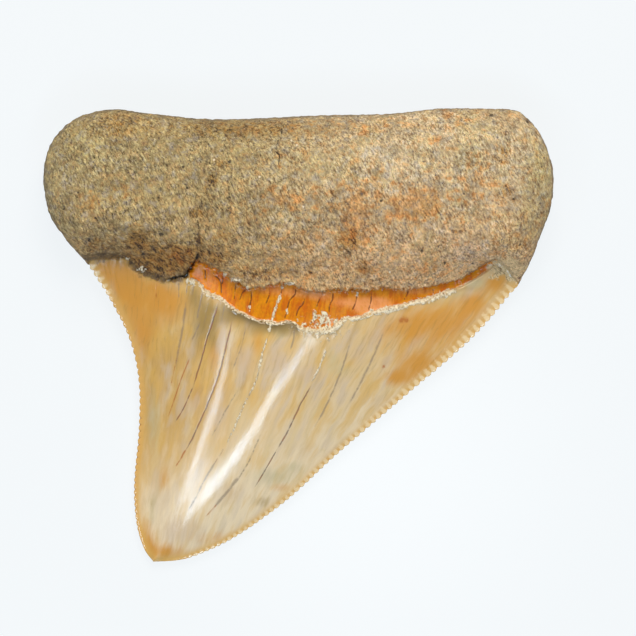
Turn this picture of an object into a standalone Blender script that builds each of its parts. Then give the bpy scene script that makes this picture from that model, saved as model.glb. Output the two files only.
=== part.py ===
"""Megalodon tooth: an upper side tooth of the extinct shark, fossilised in one piece.

The tooth lies as it would on a table, on its flatter labial (lip) side, with the bulging lingual
(tongue) side up. Metres, +Z up. The origin is on the table, under the middle of the tooth's box.
+X runs along the root, from the short cutting edge to the long one, and +Y from the tip to the
root.

The solid is two skins, one for each side, joined by a narrow wall at the rim. The points of a skin
are first laid out flat inside the outline, and then each one is lifted to its height.
"""

import math

import bpy
from mathutils import Vector, kdtree, noise
from mathutils.geometry import delaunay_2d_cdt

# Driving dimension, in metres. Everything below scales with it.
WIDTH = 0.060  # across the two lobes of the root

# Below, lengths are in millimetres on a tooth that is this wide.
DRAWN_WIDTH = 60.0

# The outline seen from above, counter-clockwise from the tip. Its three curves meet at the tip and
# at the two shoulders, where the root ends and the cutting edges begin.
LONG_EDGE = [
    (-17.1, -26.7), (-14.2, -26.5), (-11.7, -25.8), (-7.4, -23.75), (-1.3, -19.4),
    (4.6, -14.0), (12.2, -7.5), (20.4, -0.4), (25.8, 5.8),
]
ROOT_EDGE = [
    (25.8, 5.8), (27.2, 8.5), (28.3, 11.4), (29.6, 15.0), (29.9, 19.2), (28.4, 23.6),
    (25.9, 26.2), (22.5, 26.6), (16.5, 26.6), (10.5, 26.0), (2.0, 25.8), (-9.5, 25.35),
    (-17.0, 26.0), (-22.0, 26.5), (-26.4, 25.3), (-29.1, 22.3), (-29.9, 18.4), (-29.2, 14.4),
    (-27.3, 11.3), (-24.9, 8.5),
]
SHORT_EDGE = [
    (-24.9, 8.5), (-22.0, 3.9), (-19.8, -0.7), (-18.8, -5.5), (-18.8, -11.0),
    (-19.35, -17.4), (-19.1, -22.0), (-18.2, -25.1), (-17.1, -26.7),
]

# The foot of the root on the lingual side, from the short edge's shoulder to the long edge's, and
# below it the edge of the crown's thick enamel. The thin-skinned bourlette lies between the two.
ROOT_FOOT = [
    (-24.9, 8.8), (-23.6, 9.1), (-22.3, 9.3), (-21.0, 9.3), (-20.1, 9.0), (-19.4, 8.2),
    (-18.4, 7.4), (-17.2, 7.0), (-15.4, 6.5), (-13.5, 6.9), (-12.7, 7.7), (-12.0, 8.5),
    (-11.0, 8.4), (-9.2, 7.5), (-8.2, 6.9), (-7.2, 6.1), (-6.3, 5.7), (-4.6, 5.6),
    (-3.0, 5.9), (-1.2, 6.1), (0.0, 5.6), (1.3, 5.2), (3.4, 5.2), (6.7, 5.4), (8.1, 5.2),
    (10.0, 5.6), (12.2, 5.4), (15.0, 5.7), (17.0, 6.1), (19.0, 6.6), (20.0, 7.2),
    (21.5, 8.1), (23.2, 8.9), (24.7, 7.7), (25.9, 6.1),
]
ENAMEL_EDGE = [
    (-24.9, 8.3), (-23.6, 8.6), (-22.3, 8.8), (-21.0, 8.8), (-20.1, 8.5), (-19.4, 7.7),
    (-18.4, 6.9), (-17.2, 6.5), (-15.4, 6.0), (-13.6, 6.3), (-12.6, 6.7), (-11.8, 6.4),
    (-11.1, 5.6), (-10.4, 5.0), (-9.5, 4.6), (-8.7, 4.1), (-7.6, 3.2), (-6.6, 2.7),
    (-5.6, 2.2), (-4.6, 1.8), (-3.2, 1.6), (-2.2, 1.5), (-1.2, 1.7), (-0.4, 1.4),
    (0.4, 1.0), (1.6, 0.8), (2.8, 0.8), (3.8, 1.0), (4.8, 1.7), (5.6, 2.1), (7.6, 2.4),
    (8.8, 2.9), (10.6, 3.4), (12.0, 3.6), (13.4, 4.0), (15.0, 4.4), (17.0, 5.1),
    (18.4, 5.6), (19.6, 6.1), (20.8, 6.8), (22.0, 7.6), (23.2, 8.4), (24.5, 7.0), (25.6, 5.6),
]
# Where the root's swell begins, a plainer line than its broken foot.
ROOT_SWELL_FOOT = [(-25.3, 8.7), (-19.6, 8.3), (-12.6, 6.9), (-3.2, 5.8), (4.9, 5.4), (13.0, 5.8),
                   (20.3, 7.0), (26.2, 6.9)]
LABIAL_ROOT_FOOT = [(-24.9, 8.5), (-15.0, 13.4), (0.0, 15.4), (14.0, 13.2), (25.8, 5.8)]

# The crown's ridge on the lingual side, from the root to the tip.
KEEL = [(-1.0, 6.0), (-3.6, -0.5), (-6.6, -7.5), (-9.9, -14.3), (-13.4, -20.5), (-17.1, -26.7)]

# Serrations, counted along each cutting edge. They are finer towards the tip.
LONG_EDGE_SERRATIONS = 68
SHORT_EDGE_SERRATIONS = 47
CROWDING = 0.03  # how far they crowd towards the tip, as a share of the edge
SERRATION_DEPTH = (0.14, 0.28)  # at the tip and at the shoulders
SERRATION_REACH = 0.6  # how far in from the edge their scallops run
SCALLOP = 0.07  # how far a scallop's crest and its groove stand above and below the face
WORN_TIP = 4.0  # the length at the tip where the serrations have worn away

# Heights above the table. The rim is where the two skins meet.
RIM_AT_ROOT = 5.0
RIM_AT_SHOULDER = 2.6
RIM_AT_TIP = 0.9
ROOT_TOP = 8.3
KEEL_AT_ROOT = 8.6
KEEL_AT_TIP = 1.25
KEEL_BEND = 1.8

# The root's swelling, highest above the middle of the crown, and how it spreads.
SWELLING = 4.1
SWELLING_PLACE = (-1.0, 15.5)
SWELLING_SPREAD = (19.0, 10.0)

# The rim's wall, and the width over which a face rounds over towards it.
WALL_AT_ROOT = 0.7
WALL_AT_EDGE = 0.24
ROUNDING_AT_ROOT = 4.6
ROUNDING_AT_EDGE = 0.3
SHOULDER_BLEND = 6.0  # the length of rim over which the one passes into the other

# Ledges: the root stands over the bourlette, and the enamel's ragged edge over it too.
ROOT_LEDGE = 0.6
ROOT_ROLL = 5.5  # the width over which the root rolls up from its ledge to its full height
ENAMEL_LEDGE = 0.45
ENAMEL_LIP = 0.2
LEDGE_WIDTH = 0.5
LIP_WIDTH = 1.2
THIN_BOURLETTE = (0.4, 1.6)  # where it is narrower than this, its ledges fade out

# The labial side: nearly flat, with the root lifted off the table between its two lobes.
ARCH_RISE = 2.0
ARCH_PLACE = (0.0, 27.0)
ARCH_SPREAD = (13.0, 12.0)
LABIAL_RECESS = 0.35  # the root lies this far behind the enamel at its labial foot
LABIAL_TIP_RISE = 0.5
WORN_FLAT = 0.12  # how much the lowest places are flattened where the tooth rests

# Weathered relief of the root: broad lumps and smaller pits.
LUMP_SIZE = 5.5
LUMP_HEIGHT = 0.35
PIT_SIZE = 1.9
PIT_DEPTH = 0.16

# How far apart the points of the skins are laid out.
LINGUAL_SPACING = 1.12
LABIAL_SPACING = 1.7
ROOT_RIM_SPACING = 1.2
CURVE_STEP = 0.1


def smooth_step(low, high, value):
    share = min(max((value - low) / (high - low), 0.0), 1.0)
    return share * share * (3 - 2 * share)


def bell(place, middle, spread):
    return math.exp(-sum(((a - m) / s) ** 2 for a, m, s in zip(place, middle, spread)))


def blend(a, b, share):
    return a + (b - a) * share


def length_of(points):
    return sum((b - a).length for a, b in zip(points, points[1:]))


def points_at(points, shares):
    """The points at these shares of the length of a path."""
    wanted = [share * length_of(points) for share in shares]
    found = []
    walked = 0.0
    for a, b in zip(points, points[1:]):
        side = (b - a).length
        while len(found) < len(wanted) and walked + side >= wanted[len(found)]:
            found.append(a.lerp(b, (wanted[len(found)] - walked) / side))
        walked += side
    return found + [points[-1]] * (len(wanted) - len(found))


def equal_steps(points, count):
    """The same path again, as count equal steps."""
    return points_at(points, [i / count for i in range(count + 1)])


def curve_through(points, step=CURVE_STEP):
    """Points in equal steps on a Catmull-Rom curve through the given ones."""
    knots = [Vector(point) for point in points]
    knots = [2 * knots[0] - knots[1], *knots, 2 * knots[-1] - knots[-2]]
    path = []
    for before, start, end, after in zip(knots, knots[1:], knots[2:], knots[3:]):
        count = max(4, math.ceil(2 * (end - start).length / step))
        for i in range(count):
            t = i / count
            bend = 2 * before - 5 * start + 4 * end - after
            twist = 3 * start - before - 3 * end + after
            path.append(start + 0.5 * ((end - before) * t + bend * t**2 + twist * t**3))
    path.append(knots[-2])
    return equal_steps(path, max(1, round(length_of(path) / step)))


class Path:
    """A path that knows how far any point is from it."""

    def __init__(self, points):
        self.points = points
        self.tree = kdtree.KDTree(len(points))
        for i, point in enumerate(points):
            self.tree.insert(point.to_3d(), i)
        self.tree.balance()

    def nearest(self, point):
        _, index, distance = self.tree.find(point.to_3d())
        return index, distance

    def inward(self, index):
        """The direction to the left of the path, which is inwards along the outline."""
        a = self.points[max(index - 1, 0)]
        b = self.points[min(index + 1, len(self.points) - 1)]
        return Vector((a.y - b.y, b.x - a.x)).normalized()

    def above(self, point):
        """The distance from the path, positive to its left."""
        index, distance = self.nearest(point)
        return math.copysign(distance, self.inward(index).dot(point - self.points[index]))


long_edge = Path(curve_through(LONG_EDGE))
short_edge = Path(curve_through(SHORT_EDGE))
root_edge = Path(curve_through(ROOT_EDGE))
outline = Path(long_edge.points[:-1] + root_edge.points[:-1] + short_edge.points[:-1])
root_foot = Path(curve_through(ROOT_FOOT))
root_swell_foot = Path(curve_through(ROOT_SWELL_FOOT))
enamel_edge = Path(curve_through(ENAMEL_EDGE))
labial_root_foot = Path(curve_through(LABIAL_ROOT_FOOT))
keel = Path(curve_through(KEEL))


def rootness(index):
    """How far a point of the outline belongs to the root: 0 on the cutting edges, 1 on the root."""
    first = len(long_edge.points)
    last = first + len(root_edge.points)
    into_root = min(index - first, last - index) * CURVE_STEP
    return smooth_step(0, SHOULDER_BLEND, into_root)


def rim_height(index):
    """The height of the rim at a point of the outline."""
    total = len(outline.points)
    from_tip = min(index, total - index)
    reach = len(long_edge.points) if index < total / 2 else len(short_edge.points)
    edge = blend(RIM_AT_TIP, RIM_AT_SHOULDER, min(from_tip / reach, 1.0))
    return blend(edge, RIM_AT_ROOT, rootness(index))


def across_crown(point):
    """0 on a cutting edge and 1 on the keel, with the rim's height at the edge on that side."""
    to_keel = keel.above(point)
    if to_keel > 0:
        index, to_edge = long_edge.nearest(point)
        rim = rim_height(index)
    else:
        index, to_edge = short_edge.nearest(point)
        rim = rim_height(len(outline.points) - len(short_edge.points) + index)
    return to_edge / (to_edge + abs(to_keel) + 1e-6), rim


def section(share):
    """The crown's cross-section: it rises from the thin edges and rounds over at the keel."""
    return math.sin(share * math.pi / 2)


def along_crown(point):
    """0 at the root's end of the keel and 1 at the tip."""
    index, _ = keel.nearest(point)
    return index / (len(keel.points) - 1)


def relief(point, size, height):
    """Uneven ground, of lumps about this far apart."""
    return height * noise.fractal(point.to_3d() / size, 1.0, 2.0, 2)


def lingual_height(point):
    """The upper side: the crown, the bourlette and the root."""
    share, rim = across_crown(point)
    ridge = blend(KEEL_AT_ROOT, KEEL_AT_TIP, along_crown(point) ** KEEL_BEND)
    crown = blend(rim, ridge, section(share))

    in_enamel = -enamel_edge.above(point)
    in_root = root_foot.above(point)
    open_here = smooth_step(*THIN_BOURLETTE, abs(in_enamel) + abs(in_root))
    crown -= open_here * ENAMEL_LEDGE * smooth_step(LEDGE_WIDTH / 2, -LEDGE_WIDTH / 2, in_enamel)
    crown += open_here * ENAMEL_LIP * bell((in_enamel,), (LEDGE_WIDTH / 2,), (LIP_WIDTH / 2,))

    root = ROOT_TOP + SWELLING * bell(point, SWELLING_PLACE, SWELLING_SPREAD)
    root += relief(point, LUMP_SIZE, LUMP_HEIGHT) + relief(point, PIT_SIZE, PIT_DEPTH)
    rolled = min(max(root_swell_foot.above(point) / ROOT_ROLL, 0.0), 1.0) * math.pi / 2
    root = blend(crown + ROOT_LEDGE, root, math.sin(rolled))
    return blend(crown, root, smooth_step(-LEDGE_WIDTH / 2, LEDGE_WIDTH / 2, in_root))


def labial_height(point):
    """The under side, flat on the table where it is lowest."""
    share, rim = across_crown(point)
    crown = blend(rim, LABIAL_TIP_RISE * along_crown(point) ** 4, section(share))
    in_root = labial_root_foot.above(point)
    root = ARCH_RISE * bell(point, ARCH_PLACE, ARCH_SPREAD) - relief(point, LUMP_SIZE, LUMP_HEIGHT)
    root += LABIAL_RECESS * smooth_step(4.0, 0.0, in_root)
    lowest = blend(crown, root, smooth_step(-LEDGE_WIDTH / 2, 4.0, in_root))
    return max(0.0, lowest - WORN_FLAT)


def placed(point, height_at, side):
    """A point of the skin lifted to its height. Near the rim the face rounds over, so there the
    points crowd towards the rim, and their steps stay even along the round."""
    index, inset = outline.nearest(point)
    rounding = blend(ROUNDING_AT_EDGE, ROUNDING_AT_ROOT, rootness(index))
    wall = blend(WALL_AT_EDGE, WALL_AT_ROOT, rootness(index))
    turn = min(inset / rounding, 1.0) * math.pi / 2
    kept = rounding * (1 - math.cos(turn)) if inset < rounding else inset
    rim_point = outline.points[index]
    spot = rim_point + (point - rim_point) * (kept / inset) if inset > CURVE_STEP else point
    rim = rim_height(index) + side * wall / 2
    return (*spot, blend(rim, height_at(spot), math.sin(turn)))


def serrated(edge, count, from_tip):
    """Rim points along a cutting edge: a crest and a notch for each serration, in turn."""
    tips = [from_tip(i / (2 * count)) for i in range(2 * count + 1)]
    crowded = [from_tip(share - CROWDING * math.sin(share * math.pi)) for share in tips]
    steps = Path(points_at(edge.points, crowded))
    for i, point in enumerate(steps.points[:-1]):
        worn = tips[i] * length_of(edge.points) < WORN_TIP
        notch = i % 2 == 1 and not worn
        depth = blend(*SERRATION_DEPTH, tips[i]) if notch else 0.0
        yield point + steps.inward(i) * depth, steps.inward(i), i % 2


def rim_points():
    """The rim, counter-clockwise from the tip, and the row of scallops inside its serrations."""
    rim, scallops = [], []
    edges = [
        (long_edge, LONG_EDGE_SERRATIONS, lambda share: share),
        (short_edge, SHORT_EDGE_SERRATIONS, lambda share: 1 - share),
    ]
    for edge, count, from_tip in edges:
        for i, (point, inward, notch) in enumerate(serrated(edge, count, from_tip)):
            rim.append(point)
            if 1 < i < 2 * count - 1:
                scallops.append((point + inward * SERRATION_REACH, -SCALLOP if notch else SCALLOP))
        if edge is long_edge:
            steps = round(length_of(root_edge.points) / ROOT_RIM_SPACING)
            rim += equal_steps(root_edge.points, steps)[:-1]
    return rim, scallops


def clear_of(points, others, gap):
    """Those of the points that keep this gap to all the others."""
    known = Path(others)
    return [point for point in points if known.nearest(point)[1] > gap]


def ledge_rows(paths, spacing, inside):
    """Two rows of points along each path, at the foot and at the top of its ledge."""
    rows = []
    for path in paths:
        steps = Path(equal_steps(path.points, round(length_of(path.points) / spacing)))
        for offset in (-LEDGE_WIDTH / 2, LEDGE_WIDTH / 2):
            row = [p + steps.inward(i) * offset for i, p in enumerate(steps.points)]
            rows += clear_of(row, inside + rows, LEDGE_WIDTH * 0.9)
    return rows


def lattice(spacing):
    """Points in a triangular pattern inside the outline."""
    reach = math.ceil(DRAWN_WIDTH / spacing)
    for row in range(-reach, reach):
        for column in range(-reach, reach):
            point = Vector((column + (row % 2) / 2, row * math.sqrt(3) / 2)) * spacing
            if outline.above(point) > 0:
                yield point


def skin(rim, scallops, paths, spacing):
    """The flat layout of one side: its points, and the triangles between them."""
    row = clear_of([point for point, _ in scallops], rim, SERRATION_REACH * 0.55)
    points = [*rim, *row]
    points += ledge_rows(paths, spacing, points)
    points += clear_of(lattice(spacing), points, spacing * 0.62)
    border = [list(range(len(rim)))]
    found, _, triangles, sources, _, _ = delaunay_2d_cdt(points, [], border, 1, 1e-7)
    return [points[source[0]] for source in sources], triangles, [s[0] for s in sources]


def face_material(corners, lingual):
    """0 for the root, 1 for the bourlette and 2 for the enamel."""
    middle = sum((Vector(corner[:2]) for corner in corners), Vector((0, 0))) / 3
    if not lingual:
        return 0 if labial_root_foot.above(middle) > 0 else 2
    if root_foot.above(middle) > 0:
        return 0
    return 1 if enamel_edge.above(middle) > 0 else 2


def tooth_mesh():
    rim, scallops = rim_points()
    lift = {tuple(point): height for point, height in scallops}
    vertices, faces, slots = [], [], []
    starts = []
    for side, height_at, paths, spacing in (
        (1, lingual_height, (root_foot, enamel_edge), LINGUAL_SPACING),
        (-1, labial_height, (labial_root_foot,), LABIAL_SPACING),
    ):
        points, triangles, sources = skin(rim, scallops, paths, spacing)
        corners = []
        for point in points:
            x, y, z = placed(point, height_at, side)
            corners.append((x, y, z + side * lift.get(tuple(point), 0.0)))
        start = len(vertices)
        starts.append({source: start + i for i, source in enumerate(sources)})
        vertices += corners
        for triangle in triangles:
            order = triangle if side > 0 else triangle[::-1]
            faces.append([start + i for i in order])
            slots.append(face_material([corners[i] for i in triangle], side > 0))
    upper, lower = starts
    for i in range(len(rim)):
        j = (i + 1) % len(rim)
        faces += [(lower[i], lower[j], upper[j]), (lower[i], upper[j], upper[i])]
        slots += [0 if rootness(outline.nearest(rim[i])[0]) > 0.1 else 2] * 2

    lows = [min(vertex[axis] for vertex in vertices) for axis in range(3)]
    highs = [max(vertex[axis] for vertex in vertices) for axis in range(3)]
    scale = WIDTH / (highs[0] - lows[0])
    middle = Vector(((lows[0] + highs[0]) / 2, (lows[1] + highs[1]) / 2, lows[2]))
    mesh = bpy.data.meshes.new("tooth")
    mesh.from_pydata([(Vector(vertex) - middle) * scale for vertex in vertices], [], faces)
    mesh.polygons.foreach_set("material_index", slots)
    return mesh


def finish(name, colour, roughness):
    material = bpy.data.materials.new(name)
    material.use_nodes = True
    shader = material.node_tree.nodes["Principled BSDF"]
    shader.inputs["Base Color"].default_value = (*colour, 1)
    shader.inputs["Roughness"].default_value = roughness
    shader.inputs["Metallic"].default_value = 0.0
    return material


for old in list(bpy.context.scene.objects):
    bpy.data.objects.remove(old, do_unlink=True)

mesh = tooth_mesh()
mesh.materials.append(finish("fossil root", (0.38, 0.27, 0.14), 0.85))
mesh.materials.append(finish("bourlette", (0.56, 0.17, 0.012), 0.4))
mesh.materials.append(finish("enamel", (0.62, 0.42, 0.2), 0.25))
mesh.shade_smooth()
mesh.set_sharp_from_angle(angle=math.radians(40))
tooth = bpy.data.objects.new("tooth", mesh)
bpy.context.collection.objects.link(tooth)
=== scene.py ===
"""The looks of a fossil megalodon tooth that lies on a light table, lingual (tongue) side up.

The tooth is one natural piece. Lengths are in millimetres of the drawn tooth, which is 60 mm wide,
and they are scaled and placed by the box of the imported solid. +X runs along the root, +Y from the
tip to the root, +Z up.
"""
import math

import bpy
import numpy as np
from mathutils import Matrix, Vector, kdtree, noise
from mathutils.geometry import delaunay_2d_cdt


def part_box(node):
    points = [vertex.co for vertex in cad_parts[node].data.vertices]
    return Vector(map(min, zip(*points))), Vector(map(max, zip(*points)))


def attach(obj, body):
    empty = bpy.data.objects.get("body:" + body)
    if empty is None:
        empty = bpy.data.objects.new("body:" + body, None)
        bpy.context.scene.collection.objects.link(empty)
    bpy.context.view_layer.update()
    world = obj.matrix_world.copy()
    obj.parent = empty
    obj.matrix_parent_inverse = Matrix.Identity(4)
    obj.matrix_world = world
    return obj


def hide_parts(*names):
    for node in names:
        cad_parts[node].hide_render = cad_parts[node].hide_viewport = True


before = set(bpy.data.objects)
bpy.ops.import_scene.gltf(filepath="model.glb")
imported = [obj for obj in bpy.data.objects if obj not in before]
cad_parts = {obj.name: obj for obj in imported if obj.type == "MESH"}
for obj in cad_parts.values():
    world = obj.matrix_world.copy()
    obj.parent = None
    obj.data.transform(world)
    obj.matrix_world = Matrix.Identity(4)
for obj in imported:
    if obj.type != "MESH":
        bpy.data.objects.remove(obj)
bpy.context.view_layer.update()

# ------------------------------------------------------------------------------------------------
# The outline of the tooth, and the lines that part its root, bourlette and crown.
# A tooth like this grew in one piece and turned to stone in one piece, so everything below shapes
# and finishes one closed surface. All its parts are found by their distance from these lines.
# ------------------------------------------------------------------------------------------------
# The outline runs counter-clockwise from the tip: up the long cutting edge, along the root, and
# down the short cutting edge.
LONG_EDGE = [
    (-17.1, -26.7), (-14.2, -26.5), (-11.7, -25.8), (-7.4, -23.75), (-1.3, -19.4),
    (4.6, -14.0), (12.2, -7.5), (20.4, -0.4), (25.8, 5.8),
]
ROOT_EDGE = [
    (25.8, 5.8), (27.2, 8.5), (28.3, 11.4), (29.6, 15.0), (29.9, 19.2), (28.4, 23.6),
    (25.9, 26.2), (22.5, 26.6), (16.5, 26.6), (10.5, 26.0), (2.0, 25.8), (-9.5, 25.35),
    (-17.0, 26.0), (-22.0, 26.5), (-26.4, 25.3), (-29.1, 22.3), (-29.9, 18.4), (-29.2, 14.4),
    (-27.3, 11.3), (-24.9, 8.5),
]
SHORT_EDGE = [
    (-24.9, 8.5), (-22.0, 3.9), (-19.8, -0.7), (-18.8, -5.5), (-18.8, -11.0),
    (-19.35, -17.4), (-19.1, -22.0), (-18.2, -25.1), (-17.1, -26.7),
]

# The foot of the root, the line that its swell starts from, and the edge of the thick enamel. The
# bourlette, a band of orange dentine, shows between the foot of the root and that edge.
ROOT_FOOT = [
    (-24.9, 8.8), (-23.6, 9.1), (-22.3, 9.3), (-21.0, 9.3), (-20.1, 9.0), (-19.4, 8.2),
    (-18.4, 7.4), (-17.2, 7.0), (-15.4, 6.5), (-13.5, 6.9), (-12.7, 7.7), (-12.0, 8.5),
    (-11.0, 8.4), (-9.2, 7.5), (-8.2, 6.9), (-7.2, 6.1), (-6.3, 5.7), (-4.6, 5.6),
    (-3.0, 5.9), (-1.2, 6.1), (0.0, 5.6), (1.3, 5.2), (3.4, 5.2), (6.7, 5.4), (8.1, 5.2),
    (10.0, 5.6), (12.2, 5.4), (15.0, 5.7), (17.0, 6.1), (19.0, 6.6), (20.0, 7.2),
    (21.5, 8.1), (23.2, 8.9), (24.7, 7.7), (25.9, 6.1),
]
ROOT_SWELL_FOOT = [(-25.3, 8.7), (-19.6, 8.3), (-12.6, 6.9), (-3.2, 5.8), (4.9, 5.4), (13.0, 5.8),
                   (20.3, 7.0), (26.2, 6.9)]
ENAMEL_EDGE = [
    (-24.9, 8.3), (-23.6, 8.6), (-22.3, 8.8), (-21.0, 8.8), (-20.1, 8.5), (-19.4, 7.7),
    (-18.4, 6.9), (-17.2, 6.5), (-15.4, 6.0), (-13.6, 6.3), (-12.6, 6.7), (-11.8, 6.4),
    (-11.1, 5.6), (-10.4, 5.0), (-9.5, 4.6), (-8.7, 4.1), (-7.6, 3.2), (-6.6, 2.7),
    (-5.6, 2.2), (-4.6, 1.8), (-3.2, 1.6), (-2.2, 1.5), (-1.2, 1.7), (-0.4, 1.4),
    (0.4, 1.0), (1.6, 0.8), (2.8, 0.8), (3.8, 1.0), (4.8, 1.7), (5.6, 2.1), (7.6, 2.4),
    (8.8, 2.9), (10.6, 3.4), (12.0, 3.6), (13.4, 4.0), (15.0, 4.4), (17.0, 5.1),
    (18.4, 5.6), (19.6, 6.1), (20.8, 6.8), (22.0, 7.6), (23.2, 8.4), (24.5, 7.0), (25.6, 5.6),
]
LABIAL_ROOT_FOOT = [(-24.9, 8.5), (-15.0, 13.4), (0.0, 15.4), (14.0, 13.2), (25.8, 5.8)]

# The ridge of the crown on the lingual side, and the point that its growth fans out from.
FAN = (-24.0, -60.0)
KEEL = [(-1.0, 6.0), (-3.6, -0.5), (-6.6, -7.5), (-9.9, -14.3), (-13.4, -20.5), (-17.1, -26.7)]

STEP = 0.1  # between two points of a line
SPAN_PIECES = 60  # straight pieces of a curve between two given points, before its equal steps


def length_of(points):
    return np.linalg.norm(np.diff(points, axis=0), axis=1).sum()


def equal_steps(points, count):
    """The same path again, as count equal steps."""
    walked = np.concatenate([[0], np.cumsum(np.linalg.norm(np.diff(points, axis=0), axis=1))])
    wanted = np.linspace(0, walked[-1], count + 1)
    return np.column_stack([np.interp(wanted, walked, axis) for axis in np.transpose(points)])


def curve_through(points, step=STEP):
    """Points in equal steps on a Catmull-Rom curve through the given ones."""
    knots = np.array(points, float)
    knots = np.vstack([2 * knots[0] - knots[1], knots, 2 * knots[-1] - knots[-2]])
    path = []
    for before, start, end, after in zip(knots, knots[1:], knots[2:], knots[3:]):
        t = np.linspace(0, 1, SPAN_PIECES, endpoint=False)[:, None]
        bend = 2 * before - 5 * start + 4 * end - after
        twist = 3 * start - before - 3 * end + after
        path.append(start + 0.5 * ((end - before) * t + bend * t**2 + twist * t**3))
    path = np.vstack([*path, knots[-2]])
    return equal_steps(path, max(1, round(length_of(path) / step)))


class Line:
    """A path across the tooth, from which places are measured."""

    def __init__(self, path):
        self.path = path
        steps = np.gradient(path, axis=0)
        self.stride = np.linalg.norm(steps, axis=1)
        self.onward = steps / self.stride[:, None]
        self.inward = np.column_stack([-self.onward[:, 1], self.onward[:, 0]])
        self.tree = kdtree.KDTree(len(path))
        for i, (x, y) in enumerate(path):
            self.tree.insert((x, y, 0), i)
        self.tree.balance()

    def nearest(self, spots):
        """The point of the path that is nearest to each spot, as a number, and how far it is."""
        found = [self.tree.find((x, y, 0)) for x, y in spots]
        return np.array([hit[1] for hit in found]), np.array([hit[2] for hit in found])

    def above(self, spots):
        """The distance from the path, positive to its left, and the share of the way along it."""
        index, distance = self.nearest(spots)
        offset = spots - self.path[index]
        side = np.sum(self.inward[index] * offset, axis=1)
        ahead = np.sum(self.onward[index] * offset, axis=1) / self.stride[index]
        share = (index + np.clip(ahead, -0.5, 0.5)) / (len(self.path) - 1)
        beside = np.abs(ahead) < 1
        return np.where(beside, side, np.copysign(distance, side)), np.clip(share, 0, 1)


long_edge = Line(curve_through(LONG_EDGE))
short_edge = Line(curve_through(SHORT_EDGE))
root_edge = Line(curve_through(ROOT_EDGE))
outline = Line(np.vstack([long_edge.path[:-1], root_edge.path[:-1], short_edge.path[:-1]]))
root_foot = Line(curve_through(ROOT_FOOT))
swell_foot = Line(curve_through(ROOT_SWELL_FOOT))
enamel_edge = Line(curve_through(ENAMEL_EDGE))
labial_root_foot = Line(curve_through(LABIAL_ROOT_FOOT))
keel = Line(curve_through(KEEL))


def smooth_step(low, high, value):
    """A smooth rise from 0 to 1 as the value goes from low to high."""
    share = np.clip((value - low) / (high - low), 0, 1)
    return share * share * (3 - 2 * share)


def blend(a, b, share):
    """From a to b as the share goes from 0 to 1."""
    return a + (b - a) * share


def bell(spots, middle, spread):
    """1 at the middle, fading to 0 around it, as far as the spread across and along."""
    return np.exp(-np.sum(((spots - np.array(middle)) / np.array(spread)) ** 2, axis=1))


def lumps(spots, size, octaves=2, seed=0.0):
    """Smooth random ground between about -1 and 1, with lumps about this far apart."""
    spots = np.asarray(spots, float)
    if spots.shape[1] == 2:
        spots = np.column_stack([spots, np.zeros(len(spots))])
    shift = Vector((seed, 1.7 * seed, -seed))
    return np.array([
        noise.fractal(Vector(spot) + shift, 1.0, 2.0, octaves) for spot in spots / size
    ])


class Places:
    """Where some points of the tooth lie, measured from each of its lines."""

    def __init__(self, spots):
        self.spots = spots
        self.to_keel, self.along = keel.above(spots)
        on_long = self.to_keel > 0
        long_index, to_long = long_edge.nearest(spots)
        short_index, to_short = short_edge.nearest(spots)
        self.to_edge = np.where(on_long, to_long, to_short)
        self.across = self.to_edge / (self.to_edge + np.abs(self.to_keel) + 1e-6)
        first = len(outline.path) - len(short_edge.path)
        self.edge_rim = rim_height(np.where(on_long, long_index, first + short_index))
        self.in_root, _ = root_foot.above(spots)
        self.in_swell, _ = swell_foot.above(spots)
        above_enamel, _ = enamel_edge.above(spots)
        self.in_enamel = -above_enamel
        self.in_labial_root, _ = labial_root_foot.above(spots)
        x, y = spots.T
        self.growth = np.column_stack([-FAN[1] * (x - FAN[0]) / (y - FAN[1]), y])


# ------------------------------------------------------------------------------------------------
# The crown: a blade of dentine under a skin of polished enamel.
# It is thick at the root and thin at the tip, nearly flat on the labial side, and on the lingual
# side it swells from thin flanges at the cutting edges to a rounded keel.
# ------------------------------------------------------------------------------------------------
RIM_AT_ROOT = 5.0
RIM_AT_SHOULDER = 2.6
RIM_AT_TIP = 0.9
SHOULDER_BLEND = 6.0
KEEL_AT_ROOT = 8.6
KEEL_AT_TIP = 1.25
KEEL_BEND = 1.8
LABIAL_TIP_RISE = 0.5
LABIAL_TIP_BEND = 4
RIPPLE_HEIGHT = 0.008
RIPPLE_ACROSS = 0.8
RIPPLE_ALONG = 9.0


def rootness(index):
    """How far a point of the outline belongs to the root: 0 on the cutting edges, 1 on the root."""
    first = len(long_edge.path)
    last = first + len(root_edge.path)
    return smooth_step(0, SHOULDER_BLEND, np.minimum(index - first, last - index) * STEP)


def rim_height(index):
    """The height of the rim at a point of the outline."""
    total = len(outline.path)
    from_tip = np.minimum(index, total - index)
    reach = np.where(index < total / 2, len(long_edge.path), len(short_edge.path))
    edge = blend(RIM_AT_TIP, RIM_AT_SHOULDER, np.minimum(from_tip / reach, 1))
    return blend(edge, RIM_AT_ROOT, rootness(index))


def crown_section(share):
    """The share of the way from the rim to the keel that a place of the crown stands up."""
    return np.sin(share * math.pi / 2)


def crown_height(at):
    ridge = blend(KEEL_AT_ROOT, KEEL_AT_TIP, at.along**KEEL_BEND)
    return blend(at.edge_rim, ridge, crown_section(at.across))


def labial_crown_height(at):
    return blend(at.edge_rim, LABIAL_TIP_RISE * at.along**LABIAL_TIP_BEND, crown_section(at.across))


def crown_relief(at):
    """Low ripples of the enamel that run along the growth of the crown."""
    grown = at.growth / (RIPPLE_ACROSS, RIPPLE_ALONG)
    return RIPPLE_HEIGHT * lumps(grown, 1.0, 3, seed=4.0)


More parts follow.
